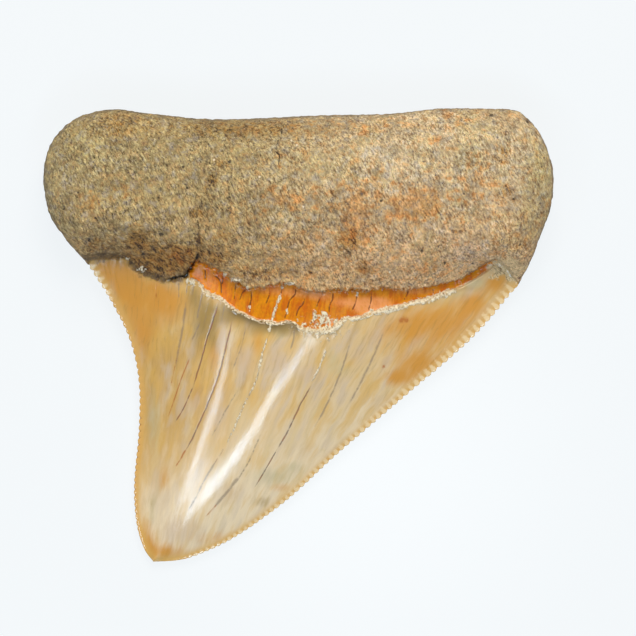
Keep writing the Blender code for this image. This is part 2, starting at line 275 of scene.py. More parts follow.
# Patches of tone in the enamel: where, how far they spread across and along, and how strong.
CROWN_TONES = {
    "gold": [
        ((-22.3, 8.0), (2.2, 1.3), 1.0), ((-19.8, 4.2), (1.7, 4.2), 0.6),
        ((-18.0, 0.2), (1.6, 3.4), 0.7), ((-15.2, 3.8), (2.2, 2.2), 0.8),
        ((-4.6, -0.9), (0.9, 1.5), 0.6), ((-9.9, -2.4), (0.8, 2.2), 0.5),
        ((11.6, -5.0), (1.7, 0.9), 0.7), ((14.2, -3.5), (2.4, 1.5), 0.75),
        ((13.5, 0.9), (4.0, 1.8), 0.5), ((18.0, 2.2), (4.0, 2.0), 0.5),
        ((15.5, -0.8), (7.0, 4.5), 0.45),
        ((23.2, 6.2), (1.7, 1.3), 0.9), ((20.6, 3.9), (2.0, 1.4), 0.8),
        ((-20.6, 6.2), (3.0, 1.8), 0.7), ((-17.0, 5.0), (2.4, 1.6), 0.6),
        ((-15.7, -17.0), (0.7, 1.9), 0.5), ((-12.0, -6.5), (1.2, 3.0), 0.3),
        ((-2.0, -17.9), (1.4, 0.6), 0.5), ((-18.1, -24.2), (1.1, 2.4), 0.9),
        ((-15.8, -25.6), (3.0, 1.1), 0.9), ((-9.0, -23.9), (3.4, 0.9), 0.5),
    ],
    "rose": [
        ((-6.1, -2.9), (1.3, 1.8), 0.8), ((-2.4, -3.0), (1.4, 1.3), 0.7),
        ((1.4, -4.4), (1.8, 1.0), 0.7), ((7.0, -2.2), (1.2, 1.6), 0.5),
        ((-16.0, -6.0), (1.0, 5.0), 0.4), ((-8.0, -18.5), (2.4, 1.6), 0.5),
        ((-13.8, -23.0), (2.6, 2.0), 0.9), ((9.4, -7.8), (2.4, 1.2), 0.4),
        ((1.0, -13.5), (3.0, 1.4), 0.3),
    ],
    "sage": [
        ((3.8, -2.6), (1.3, 1.5), 0.6), ((-2.4, 0.6), (1.3, 0.9), 0.8),
        ((-17.1, -9.5), (0.8, 3.6), 0.7), ((-3.0, -16.6), (2.8, 1.2), 0.8),
        ((-0.4, -15.4), (1.2, 0.7), 0.6), ((-9.6, -22.4), (2.6, 1.2), 0.2),
        ((-9.3, 3.2), (0.9, 0.6), 0.6), ((20.4, 6.3), (1.7, 0.9), 0.5),
        ((-17.2, -20.5), (0.8, 2.2), 0.5), ((16.6, 3.9), (2.2, 0.7), 0.5),
        ((5.6, -4.2), (1.2, 0.8), 0.4), ((18.8, 4.8), (1.6, 0.6), 0.8),
        ((21.2, 6.1), (1.7, 0.6), 0.8),
    ],
    "olive": [
        ((-10.9, 1.6), (1.6, 2.6), 0.75), ((-9.6, 2.4), (1.6, 1.4), 0.7),
        ((-12.3, 4.6), (1.2, 1.6), 0.75),
        ((-7.6, 2.2), (1.4, 1.0), 0.7), ((-9.9, -0.4), (0.6, 1.4), 0.6),
        ((-4.4, 0.7), (1.9, 1.0), 0.7), ((-1.4, 0.7), (1.2, 0.8), 0.6),
        ((-4.2, -19.6), (1.5, 0.7), 0.45), ((-11.8, -1.5), (1.6, 2.2), 0.35),
        ((-17.6, -20.0), (0.7, 1.6), 0.3), ((12.0, 3.1), (1.6, 0.5), 0.4),
        ((20.0, 5.5), (1.9, 0.55), 0.6),
    ],
    "pale": [
        ((-6.6, -9.2), (1.9, 2.8), 0.7), ((0.5, -7.5), (2.6, 2.8), 0.35),
        # The two patches on the next line, at (1.4, -0.6) and (-8.1, 0.3), are painted highlight:
        # the faint upper ends of the mirrored V.
        ((1.4, -0.6), (1.1, 0.6), 0.9), ((-8.1, 0.3), (0.45, 1.9), 0.6),
        ((-2.0, -12.5), (3.4, 1.6), 0.3), ((-9.0, -14.5), (1.6, 2.5), 0.4),
        ((-12.5, -10.0), (1.0, 3.0), 0.25), ((2.9, -13.5), (0.35, 0.25), 0.9),
        ((-15.5, 3.4), (0.16, 0.2), 0.9),
    ],
}

# ------------------------------------------------------------------------------------------------
# The cutting edges: the rim of the enamel, cut into fine rounded serrations by growth.
# They are coarser towards the root, and worn away at the very tip.
# ------------------------------------------------------------------------------------------------
LONG_EDGE_SERRATIONS = 68
SHORT_EDGE_SERRATIONS = 47
CROWDING = 0.03  # how far they crowd towards the tip, as a share of the edge
SERRATION_DEPTH = (0.1, 0.28)  # at the tip and at the shoulders
SERRATION_REACH = (0.5, 1.3)  # in from the edge, at the tip and at the shoulders
BEAD_REACH = (0.5, 2.0)  # the pale crests of the long edge reach further in
SHORT_EDGE_DEPTH = 0.6  # the serrations are lower there, up to its pale beads
SERRATION_SWELL = 0.05
SWELL_SUNK = 0.55  # how much of the swell is taken away again, so that the notches sink
CREST_BEND = 0.8  # below 1 the crests are broad and the notches narrow
WORN_TIP = (3.2, 4.8)  # from the tip: none before the first, and whole after the second
LAST_SERRATION = 0.985  # the share of an edge from which they fade into the root
EDGE_COLUMNS = 8  # columns of points for each serration
EDGE_ROWS = (0.09, 0.2, 0.33, 0.5, 0.7, 0.95, 1.22)
HALF_EDGE = 0.12  # half the thickness of the blunt rim
EDGE_ROUND = 0.16
STAINED_NOTCHES = (6.0, 17.5)  # from the tip, along the short edge
STAIN_FADE = 0.7
STAIN_AT_RIM = 1.2  # where it is above 1 the stain is full
STAIN_FALL = 2  # how fast it fades inward, over the reach of a serration
BEADED_FROM = (0.82, 0.9)  # the share of the short edge from which its crests are pale beads
EVEN_SHARES = np.linspace(0, 1, 500)


def crowded(share):
    """The share of the way from the tip at which this share of the serrations lies."""
    return share - CROWDING * np.sin(share * math.pi)


def serration_phase(index):
    """Where a point of the outline lies in its serration, where 0 and 1 are crests and 0.5 is the
    notch, at what share of the way from the tip, and how far the serrations are present there."""
    total = len(outline.path)
    on_long = index < total / 2
    reach = np.where(on_long, len(long_edge.path), len(short_edge.path))
    count = np.where(on_long, LONG_EDGE_SERRATIONS, SHORT_EDGE_SERRATIONS)
    from_tip = np.where(on_long, index, total - index)
    share = np.clip(from_tip / reach, 0, 1)
    passed = np.interp(share, crowded(EVEN_SHARES), EVEN_SHARES)
    present = smooth_step(*WORN_TIP, from_tip * STEP) * (1 - smooth_step(LAST_SERRATION, 1, share))
    return (passed * count) % 1.0, share, present


def faded_inward(index, inset, reach, present):
    """How much is left of a serration at this distance in from the rim."""
    return np.clip(1 - inset / reach, 0, 1) * present * (1 - rootness(index))


def serrations(index, inset):
    """How far the serrations cut in from the rim and how far they swell."""
    phase, share, present = serration_phase(index)
    crest = np.abs(np.cos(phase * math.pi)) ** CREST_BEND
    fade = faded_inward(index, inset, blend(*SERRATION_REACH, share), present)
    beaded = np.where(index < len(outline.path) / 2, 1, smooth_step(*BEADED_FROM, share))
    depth = blend(*SERRATION_DEPTH, share) * blend(SHORT_EDGE_DEPTH, 1, beaded)
    cut = (1 - crest) * depth * fade**2
    return cut, (crest - SWELL_SUNK) * SERRATION_SWELL * fade


def serration_marks(index, inset):
    """How far a point is in a serration, on its pale crest, and in a stained notch."""
    phase, share, present = serration_phase(index)
    total = len(outline.path)
    on_short = index >= total / 2
    from_tip = (total - index) * STEP
    reach = blend(*SERRATION_REACH, share)
    bead_reach = np.where(on_short, reach, blend(*BEAD_REACH, share))
    fade = faded_inward(index, inset, reach, present)
    bead = faded_inward(index, inset, bead_reach, present)
    crest = np.abs(np.cos(phase * math.pi))
    beaded = np.where(on_short, smooth_step(*BEADED_FROM, share), 1)
    first, last = STAINED_NOTCHES
    stained = smooth_step(first - STAIN_FADE, first, from_tip)
    stained *= smooth_step(last + STAIN_FADE, last, from_tip)
    near_rim = np.clip(STAIN_AT_RIM - STAIN_FALL * inset / reach, 0, 1)
    notch = (1 - crest) * on_short * stained * near_rim * present
    return fade, crest * bead * beaded, notch


# ------------------------------------------------------------------------------------------------
# The bourlette: a band of dentine under the root with hardly any enamel on it, stained deep orange
# by iron. It lies a little below the enamel and the root, and cracks part it into small pillows.
# ------------------------------------------------------------------------------------------------
ENAMEL_LEDGE = 0.45  # how far the dentine lies below the enamel
LEDGE_WIDTH = 0.4
LEDGE_UNDER_CRUST = 0.1
THIN_BOURLETTE = (0.25, 0.9)  # it is level with the enamel where narrower, and sunk where wider
BOURLETTE_ENDS = (-12.7, 23.4)
END_FADE = 0.2

BOURLETTE_CRACKS = [  # each from the root down to the enamel
    [(-10.9, 7.8), (-10.9, 6.6)], [(-9.8, 7.1), (-9.1, 6.3), (-9.0, 4.9)],
    [(-8.8, 7.3), (-8.9, 6.0)], [(-7.3, 6.1), (-7.4, 5.3), (-7.5, 4.2)],
    [(-5.9, 5.6), (-6.5, 5.0), (-6.9, 4.1)], [(-5.5, 5.2), (-5.5, 4.3), (-5.8, 3.0)],
    [(-3.3, 5.6), (-3.4, 4.7), (-3.8, 3.7)], [(-1.9, 5.7), (-2.0, 4.8)],
    [(-0.3, 5.5), (-0.4, 4.8), (-1.0, 4.1), (-1.3, 3.0)], [(-1.3, 2.8), (-1.6, 2.0)],
    [(0.9, 4.6), (0.5, 3.6), (0.1, 3.2), (-0.3, 2.2)], [(1.6, 1.8), (1.4, 1.2)],
    [(2.8, 5.2), (2.9, 4.8), (2.5, 4.2), (2.0, 3.1)],
    [(4.1, 5.0), (4.0, 4.2), (3.7, 3.6), (3.6, 2.7)], [(6.9, 4.8), (6.7, 3.8), (6.3, 2.9)],
    [(8.6, 5.0), (8.5, 3.9), (8.2, 2.9)], [(12.9, 5.3), (12.8, 4.9), (12.4, 4.2)],
    [(15.8, 5.5), (15.9, 4.9)],
]

# Where the dentine is paler and pinker: its upper lip, and the middle of its right half. The pink
# of the upper lip is partly painted sheen, the reflection of the light drawn into its colour.
SALMON_AND_SHEEN = [
    ((-11.9, 7.4), (0.5, 0.7), 0.5), ((-3.2, 5.4), (1.8, 0.6), 0.55),
    ((0.2, 5.0), (2.4, 0.6), 0.65), ((2.6, 4.7), (1.4, 0.6), 0.8), ((5.4, 3.9), (1.6, 0.6), 0.8),
    ((7.6, 3.5), (1.2, 0.9), 1.0), ((9.6, 3.9), (1.3, 0.6), 0.9), ((13.6, 5.2), (2.6, 0.4), 0.6),
    ((3.7, 1.5), (0.6, 0.5), 1.0), ((0.9, 1.6), (0.6, 0.3), 0.4), ((8.6, 3.4), (2.1, 0.8), 0.7),
]


def between_ends(at):
    """1 along the bourlette, 0 past its ends, where the root closes over the enamel."""
    x = at.spots[:, 0]
    left, right = BOURLETTE_ENDS
    opened = smooth_step(left - END_FADE, left + END_FADE, x)
    return opened * smooth_step(right + END_FADE, right - END_FADE, x)


def bare(at):
    """1 on the bourlette, 0 on the root and the enamel."""
    wide = smooth_step(*THIN_BOURLETTE, np.abs(at.in_enamel) + np.abs(at.in_root))
    below_root = smooth_step(LEDGE_WIDTH / 4, -LEDGE_WIDTH / 4, at.in_root)
    past_ledge = at.in_enamel - LEDGE_UNDER_CRUST
    below_enamel = smooth_step(LEDGE_WIDTH / 2, -LEDGE_WIDTH / 2, past_ledge)
    return wide * below_root * below_enamel * between_ends(at)


# ------------------------------------------------------------------------------------------------
# The broken rim of the enamel: a crumbling cream-coloured crust along the bourlette.
# It widens into a rough patch below the middle, and a few crumbs cling to the root's foot.
# ------------------------------------------------------------------------------------------------
CRUST_HEIGHT = 0.14
CRUST_EVEN = 0.6  # the shares of that height in its even bed and in its lumps
CRUST_LUMPY = 1.1
CRUST_LUMP_SIZE = 0.45
CRUMBLE = 0.4  # how unevenly it ends, where there is some of it
CRUMBLE_SIZE = 0.42
SOME_CRUST = 0.1
SHADE_REACH = 0.7  # of the olive shade in the enamel below it, which comes and goes between these
SHADE_COMES = (-9.5, -7.0)
SHADE_GOES = (0.4, -0.2)
CRUST = [  # x, y and half the width
    (-12.8, 6.6, 0.1), (-11.9, 6.4, 0.13), (-11.2, 5.6, 0.2), (-10.5, 4.9, 0.3),
    (-9.6, 4.6, 0.24), (-8.8, 4.1, 0.19), (-7.6, 3.1, 0.2), (-6.6, 2.6, 0.15), (-5.6, 2.1, 0.16),
    (-4.7, 1.75, 0.12), (-3.8, 1.7, 0.15), (-3.1, 1.45, 0.26), (-2.3, 1.4, 0.12),
    (-1.2, 1.65, 0.1), (-0.4, 1.45, 0.12), (0.2, 0.95, 0.22), (1.0, 0.65, 0.32), (1.9, 0.5, 0.3),
    (2.8, 0.45, 0.34), (3.6, 0.55, 0.34), (4.4, 0.9, 0.34), (4.9, 1.6, 0.36), (5.6, 2.0, 0.24),
    (6.4, 2.0, 0.22), (7.6, 2.2, 0.24), (8.6, 2.65, 0.3), (9.6, 2.85, 0.34), (10.6, 3.1, 0.34),
    (11.8, 3.32, 0.3), (13.2, 3.72, 0.32), (14.6, 4.1, 0.34), (15.8, 4.4, 0.37),
    (17.0, 4.85, 0.34), (18.3, 5.25, 0.24),
]
CRUMBS = [  # the middle of each and how far it reaches
    ((1.95, 2.1), (0.24, 0.9)), ((3.0, 1.9), (0.65, 0.8)), ((4.5, 1.4), (0.6, 0.6)),
    ((-7.5, 6.55), (0.5, 0.16)), ((-8.55, 7.1), (0.2, 0.3)), ((6.9, 4.95), (0.16, 0.3)),
    ((-0.9, 6.1), (0.55, 0.16)), ((-5.9, 5.6), (0.14, 0.25)), ((-1.9, 5.7), (0.14, 0.2)),
    ((-18.4, 7.8), (0.42, 0.28)), ((-20.0, 9.1), (0.2, 0.14)), ((-12.6, 6.3), (0.5, 0.3)),
    ((-5.7, 3.2), (0.12, 0.3)), ((-1.3, 2.9), (0.1, 0.3)),
]
RUBBLE = ((2.7, 0.9), (2.6, 1.2))  # loose grains around the widest patch
RUBBLE_AMOUNT = 0.6
CORNER_CRUST = ((24.6, 8.0), (2.3, 1.5))

crust_path = curve_through(CRUST)
crust_line = Line(crust_path[:, :2])


def within(spots, middle, reach):
    """1 in the middle of an oval patch, 0.5 at its rim, 0 far from it."""
    far = np.linalg.norm((spots - np.array(middle)) / np.array(reach), axis=1)
    return np.maximum(0, 1 - 0.5 * far)


def crust(at):
    """How much cream crust there is, with 0.5 at its crumbling edge, and the shade below it."""
    index, _ = crust_line.nearest(at.spots)
    above, _ = crust_line.above(at.spots)
    half = crust_path[index, 2]
    crumble = CRUMBLE * lumps(at.spots, CRUMBLE_SIZE, 3, seed=9.0)
    amount = np.maximum(0, 1 - 0.5 * np.abs(above) / half)
    for place in CRUMBS:
        amount = np.maximum(amount, within(at.spots, *place))
    amount = np.maximum(amount, RUBBLE_AMOUNT * within(at.spots, *RUBBLE))
    below = np.maximum(0, -above - half)
    x = at.spots[:, 0]
    between = smooth_step(*SHADE_COMES, x) * smooth_step(*SHADE_GOES, x)
    shade = np.exp(-((below / SHADE_REACH) ** 2)) * (above < 0) * between
    return np.clip(amount + crumble * (amount > SOME_CRUST), 0, 1), shade


# ------------------------------------------------------------------------------------------------
# The root: porous bone, broad and swollen, weathered to a rough grainy brown.
# It stands over the bourlette and the crown, and rolls round to the labial side.
# ------------------------------------------------------------------------------------------------
ROOT_TOP = 8.3
SWELLING = 4.1
SWELLING_PLACE = (-1.0, 15.5)
SWELLING_SPREAD = (19.0, 10.0)
ROUNDING_AT_ROOT = 4.6
ROUNDING_AT_EDGE = 0.3
ROOT_LEDGE = 0.6
ROOT_ROLL = 5.5
ARCH_RISE = 2.0
ARCH_PLACE = (0.0, 27.0)
ARCH_SPREAD = (13.0, 12.0)
LABIAL_RECESS = 0.35
RECESS_WIDTH = 4.0
LUMP_SIZE = 5.5
LUMP_HEIGHT = 0.35
PIT_SIZE = 1.9
PIT_DEPTH = 0.16
WORN_FLAT = 0.12
GRAIN_SIZE = 0.8
GRAIN_HEIGHT = 0.11
PORE_SPACING = 1.5
PORE_REACH = 0.2  # as a share of that spacing
PORES_CLOSED = 0.35  # the share of them that has closed up
PORE_DEPTH = 0.3
PIT_PLACES = [  # single deep pits, each with how far it reaches
    ((-16.8, 22.1), 0.2), ((-12.5, 21.7), 0.24), ((-13.4, 19.7), 0.22), ((-13.0, 17.2), 0.22),
    ((-10.0, 18.0), 0.3), ((-23.7, 13.7), 0.22), ((-24.5, 11.1), 0.26), ((-16.0, 11.7), 0.34),
    ((-18.2, 9.4), 0.26), ((14.5, 9.8), 0.24), ((17.2, 8.4), 0.22), ((22.6, 26.0), 0.3),
    ((27.0, 25.2), 0.24), ((-8.0, 20.3), 0.26), ((-6.3, 23.3), 0.2), ((9.7, 22.0), 0.16),
    ((12.8, 22.3), 0.2), ((25.2, 15.9), 0.2), ((28.6, 19.8), 0.18), ((26.0, 10.5), 0.2),
    ((-8.0, 16.1), 0.2), ((9.7, 15.7), 0.22), ((19.4, 16.6), 0.18), ((-27.5, 14.8), 0.2),
]
PALE_SPECKS = [((-0.8, 22.8), 0.16), ((-0.15, 22.2), 0.18), ((-9.8, 20.5), 0.16),
               ((-4.5, 18.5), 0.16), ((0.6, 15.0), 0.14), ((10.7, 7.4), 0.14)]


def root_height(at, crown):
    """The root's lingual face, which rolls up from its foot on the crown to its swelling."""
    root = ROOT_TOP + SWELLING * bell(at.spots, SWELLING_PLACE, SWELLING_SPREAD)
    root += LUMP_HEIGHT * lumps(at.spots, LUMP_SIZE) + PIT_DEPTH * lumps(at.spots, PIT_SIZE)
    rolled = np.clip(at.in_swell / ROOT_ROLL, 0, 1) * math.pi / 2
    return blend(crown + ROOT_LEDGE, root, np.sin(rolled))


def labial_root_height(at):
    arch = ARCH_RISE * bell(at.spots, ARCH_PLACE, ARCH_SPREAD)
    recess = LABIAL_RECESS * smooth_step(RECESS_WIDTH, 0, at.in_labial_root)
    return arch + recess - LUMP_HEIGHT * lumps(at.spots, LUMP_SIZE)


def pores(points):
    """Small round holes in the bone: 1 at the middle of each, at points of the surface in 3-D."""
    found = []
    for point in points:
        (near, _, _, _), (cell, _, _, _) = noise.voronoi(Vector(point / PORE_SPACING))
        is_open = noise.cell(cell * 7.3) > PORES_CLOSED
        found.append(max(0.0, 1 - near / PORE_REACH) if is_open else 0.0)
    return np.array(found)


def root_relief(points, lingual):
    """The grain of the bone, its holes, and the pale specks stuck in it."""
    grain = GRAIN_HEIGHT * lumps(points, GRAIN_SIZE, 4, seed=1.0)
    holes = pores(points)
    specks = np.zeros(len(points))
    if lingual:
        for middle, reach in PIT_PLACES:
            holes = np.maximum(holes, bell(points[:, :2], middle, (reach, reach)))
        for middle, reach in PALE_SPECKS:
            specks = np.maximum(specks, bell(points[:, :2], middle, (reach, reach)))
    return grain - PORE_DEPTH * holes, holes, specks


# Patches of tone in the bone: where, how far they spread across and along, and how strong.
ROOT_TONES = {
    "dark": [
        ((-18.7, 11.2), (1.5, 1.3), 1.0), ((-14.6, 9.2), (3.6, 1.5), 1.0),
        ((-16.4, 8.2), (2.8, 1.0), 0.9), ((-9.4, 9.2), (1.8, 0.9), 0.7),
        ((-11.6, 11.2), (0.5, 1.6), 0.5), ((-11.7, 14.3), (0.9, 0.8), 0.7),
        ((-10.6, 16.4), (0.9, 0.9), 0.5), ((-10.0, 18.2), (1.0, 0.8), 0.6),
        ((6.0, 11.2), (1.3, 1.4), 0.9), ((7.7, 7.8), (1.4, 1.3), 0.5),
        ((9.2, 15.8), (1.2, 0.9), 0.35), ((23.8, 21.0), (0.9, 1.0), 0.6),
        # On the next line, the long band at (-6.0, 24.2) below the top edge is painted shade, where
        # the root rolls over.
        ((24.2, 16.8), (1.0, 0.9), 0.5), ((-6.0, 24.2), (9.0, 1.2), 0.6),
        ((-21.0, 24.6), (4.0, 2.0), 0.4),
        ((-4.6, 7.4), (3.6, 0.6), 0.45), ((-23.6, 10.6), (2.4, 0.8), 0.5),
        ((18.8, 12.2), (1.0, 0.2), 0.8), ((26.2, 10.4), (1.2, 0.9), 0.35),
        ((-8.8, 20.2), (1.1, 0.6), 0.6), ((-8.6, 11.6), (1.2, 1.2), 0.4),
        ((-20.2, 9.0), (1.2, 0.6), 0.7), ((1.6, 7.6), (1.6, 0.8), 0.3),
        ((4.3, 16.2), (0.6, 1.2), 0.4),
    ],
    "warm": [
        ((6.6, 14.0), (1.5, 3.2), 0.8), ((13.4, 15.4), (3.0, 1.7), 0.8),
        ((17.3, 25.8), (0.9, 1.0), 0.6), ((19.2, 25.0), (0.8, 0.8), 0.6),
        ((15.9, 23.0), (0.9, 0.8), 0.7), ((15.4, 7.6), (2.6, 0.8), 0.55),
        ((8.0, 24.0), (3.0, 1.4), 0.35), ((21.0, 18.6), (2.4, 2.2), 0.5),
        ((-24.4, 15.4), (1.2, 1.2), 0.5), ((24.1, 9.6), (0.3, 0.5), 1.0),
        ((-14.0, 9.4), (2.4, 0.8), 0.7), ((-2.2, 15.8), (2.4, 1.2), 0.5),
        ((9.0, 18.2), (0.8, 0.8), 0.6), ((7.8, 11.2), (0.5, 0.8), 0.9),
        ((-2.0, 20.8), (1.4, 1.2), 0.4), ((-21.0, 17.0), (3.0, 1.4), 0.3),
        ((12.0, 15.0), (9.0, 3.5), 0.3), ((-1.0, 15.0), (5.0, 3.0), 0.2),
    ],
    "pale": [
        ((12.8, 18.8), (2.8, 1.5), 0.8), ((14.2, 22.4), (1.2, 0.8), 0.9),
        ((17.4, 23.6), (1.2, 1.2), 0.5), ((21.0, 24.0), (2.2, 1.8), 0.45),
        ((-1.6, 13.0), (3.2, 1.6), 0.6), ((8.6, 20.4), (2.0, 2.6), 0.4),
        ((16.6, 12.0), (1.8, 0.7), 0.7), ((12.0, 9.6), (4.0, 2.0), 0.35),
        ((-20.0, 20.8), (2.0, 2.0), 0.3), ((-24.8, 19.2), (1.0, 1.2), 0.5),
        # The thin bands along the top edge, at (-3.0, 25.5) and (14.0, 25.9), are painted light on
        # the rim that rolls over towards the light.
        ((-3.0, 25.5), (14.0, 0.45), 0.7), ((2.9, 10.8), (1.0, 0.8), 0.5),
        ((7.8, 22.0), (3.0, 1.0), 0.3), ((14.0, 25.9), (4.0, 0.6), 0.6),
        ((15.0, 22.5), (7.0, 3.0), 0.3),
    ],
    "cool": [
        ((19.6, 10.0), (3.4, 1.6), 0.85), ((2.6, 9.0), (2.6, 1.4), 0.4),
        ((-12.4, 13.0), (2.2, 2.6), 0.35), ((25.6, 19.0), (1.8, 3.6), 0.35),
        ((8.0, 8.0), (1.8, 1.4), 0.4), ((-3.0, 17.4), (2.4, 1.4), 0.3),
    ],
    "olive": [
        ((28.2, 17.0), (2.4, 7.0), 0.8), ((-3.0, 21.6), (10.0, 3.4), 0.2),
        ((-16.0, 8.4), (3.4, 1.2), 0.3), ((26.2, 12.6), (1.8, 2.6), 0.3),
        ((-26.0, 22.0), (3.0, 3.4), 0.3), ((-8.0, 24.0), (6.0, 1.4), 0.3),
    ],
}

# ------------------------------------------------------------------------------------------------
# The cracks: fine splits that opened as the tooth dried and turned to stone.
# Those in the enamel follow its growth. Some stay dark, and some are filled with cream sediment.
# ------------------------------------------------------------------------------------------------
CRACKS = {  # each with half its width
    "split": [
        (0.09, [(-9.3, 4.0), (-9.9, 2.0), (-10.7, -0.4), (-11.4, -3.0), (-12.3, -5.9)]),
        (0.06, [(-12.3, -5.9), (-13.5, -8.6), (-14.5, -10.2)]),
        (0.09, [(-7.7, 1.8), (-8.6, -1.8), (-9.2, -4.2), (-10.2, -7.0), (-11.4, -9.8),
                (-12.5, -12.2), (-13.4, -13.8)]),
        (0.09, [(1.5, -5.9), (0.2, -8.2), (-1.1, -11.0), (-2.5, -13.4)]),
        (0.06, [(-2.5, -13.4), (-4.3, -16.5), (-5.1, -17.8)]),
        (0.07, [(-8.7, -13.2), (-9.4, -14.3)]),
    ],
    "grey": [
        (0.09, [(-6.1, 1.0), (-6.7, -1.4), (-7.6, -3.8)]),
        (0.08, [(-6.9, -6.0), (-8.5, -8.8), (-10.2, -11.9)]),
        (0.11, [(6.2, -0.3), (5.3, -3.4), (4.2, -6.2), (3.1, -8.6), (1.9, -10.8)]),
        (0.14, [(10.0, 0.4), (9.0, -2.0), (7.8, -4.6), (6.0, -8.0)]),
        (0.1, [(-0.4, 0.8), (-0.6, -0.6), (-0.9, -1.6)]),
        (0.14, [(-13.2, 3.9), (-13.5, 1.2), (-14.1, -2.0), (-14.4, -3.6)]),
        (0.09, [(-11.5, 1.5), (-12.0, 0.4), (-12.5, -0.6)]),
        (0.1, [(-11.2, 5.0), (-11.9, 1.9)]),
        (0.12, [(-9.4, -14.3), (-10.3, -15.8), (-11.2, -17.3), (-12.0, -19.0), (-13.0, -20.6)]),
        (0.08, [(-4.4, -11.5), (-5.4, -13.9), (-6.1, -15.3), (-7.4, -17.3), (-9.1, -19.3)]),
        (0.16, [(-7.0, -16.6), (-8.2, -18.2), (-9.8, -20.1)]),
        (0.06, [(-14.0, 6.2), (-14.0, 4.4)]),
        (0.06, [(-13.0, 6.4), (-13.1, 4.8)]),
        (0.06, [(-12.2, 6.3), (-12.4, 4.6)]),
        (0.07, [(-10.4, 4.6), (-10.8, 2.4), (-11.2, 0.6)]),
        (0.06, [(-8.6, 3.6), (-9.0, 1.6)]),
    ],
    "filled": [
        (0.2, [(-2.1, 4.8), (-2.4, 3.8)]),
        (0.13, [(-2.4, 3.9), (-2.8, 2.7), (-3.1, 1.6), (-3.5, 0.4)]),
        (0.12, [(-3.6, -0.2), (-4.2, -2.2), (-4.6, -4.0)]),
        (0.09, [(-4.6, -3.9), (-5.0, -5.4), (-5.8, -7.1)]),
        (0.08, [(-5.9, -7.2), (-6.5, -8.4), (-7.5, -10.8), (-8.4, -12.9)]),
        (0.09, [(3.3, -1.5), (2.5, -3.6), (1.6, -5.4)]),
    ],
    "rust": [
        (0.06, [(-8.8, -13.4), (-9.2, -14.0), (-10.0, -15.3)]),
        (0.1, [(-13.2, -13.4), (-14.4, -15.4)]),
        (0.06, [(-12.7, -2.6), (-13.7, -5.0), (-14.8, -8.2), (-15.3, -9.5)]),
        (0.08, [(-9.6, -19.9), (-10.8, -21.3)]),
        (0.05, [(-16.6, 6.8), (-16.7, 4.3)]),
        (0.05, [(-14.0, -1.4), (-15.0, -6.0)]),
        (0.12, [(-0.55, -3.3), (-0.55, -3.5)]),
        (0.3, [(11.9, 1.5), (12.3, 1.9), (13.0, 1.7)]),
        (0.2, [(9.9, -3.5), (10.1, -3.7)]),
    ],
    "crevice": [
        (0.14, [(-15.4, 6.4), (-14.0, 6.8), (-13.3, 6.9), (-12.3, 8.1), (-11.9, 9.0), (-11.7, 9.7)]),
    ],
    "seam": [
        (0.22, [(-11.7, 9.6), (-11.6, 12.2), (-11.8, 14.4), (-10.8, 16.2), (-10.0, 18.1)]),
        (0.16, [(-8.2, 8.2), (-7.4, 7.7), (-5.8, 7.3), (-4.6, 7.2), (-3.6, 7.6), (-2.7, 8.2)]),
        (0.2, [(-24.2, 9.5), (-22.4, 9.5), (-20.6, 9.3), (-19.8, 8.7), (-19.0, 7.9)]),
        (0.24, [(-19.0, 7.9), (-18.0, 7.5), (-16.6, 7.0), (-15.4, 6.6)]),
        (0.08, [(15.2, 5.0), (12.4, 4.2)]),
        (0.08, [(4.2, 2.0), (5.2, 2.6), (7.0, 2.5)]),
    ],
    "fissure": [
        (0.08, [(-1.9, 24.4), (-2.0, 23.1), (-2.4, 22.7), (-2.6, 21.5), (-2.2, 21.0), (-2.3, 19.9)]),
    ],
    "cell": [(0.06, path) for path in BOURLETTE_CRACKS],
}
CRACK_DEPTH = {"split": 0.012, "grey": 0.004, "filled": -0.02, "rust": 0.004, "crevice": 0.5,
               "seam": 0.0, "fissure": 0.06, "cell": 0.06}
CRACK_ROWS = (-2.2, -1.0, 0.0, 1.0, 2.2)  # rows of points, in half widths from the crack
CRACK_STEP = 0.22
CRACK_WANDER = 0.05  # how far a crack strays from its line, and how often
WANDER_SIZE = 0.9
CRACK_TAPER = 0.12  # the share of its length over which a crack thins out at each end
TAPERED_TO = 0.35

crack_lines = {
    kind: [(width, Line(curve_through(points, CRACK_STEP / 2))) for width, points in cracks]
    for kind, cracks in CRACKS.items()
}


def crack_strength(spots, kind, seed):
    """1 in the middle of a crack of this kind, and 0 away from them all."""
    strength = np.zeros(len(spots))
    sideways, onward = (lumps(spots, WANDER_SIZE, 2, seed + more) for more in (0, 5))
    wander = CRACK_WANDER * np.column_stack([sideways, onward])
    for width, line in crack_lines[kind]:
        low, high = line.path.min(0) - 1, line.path.max(0) + 1
        close = np.nonzero(np.all((spots > low) & (spots < high), axis=1))[0]
        if len(close) == 0:
            continue
        index, distance = line.nearest(spots[close] + wander[close])
        share = index / (len(line.path) - 1)
        taper = smooth_step(0, CRACK_TAPER, share) * smooth_step(1, 1 - CRACK_TAPER, share)
        here = np.exp(-((distance / width) ** 2)) * blend(TAPERED_TO, 1, taper)
        strength[close] = np.maximum(strength[close], here)
    return strength


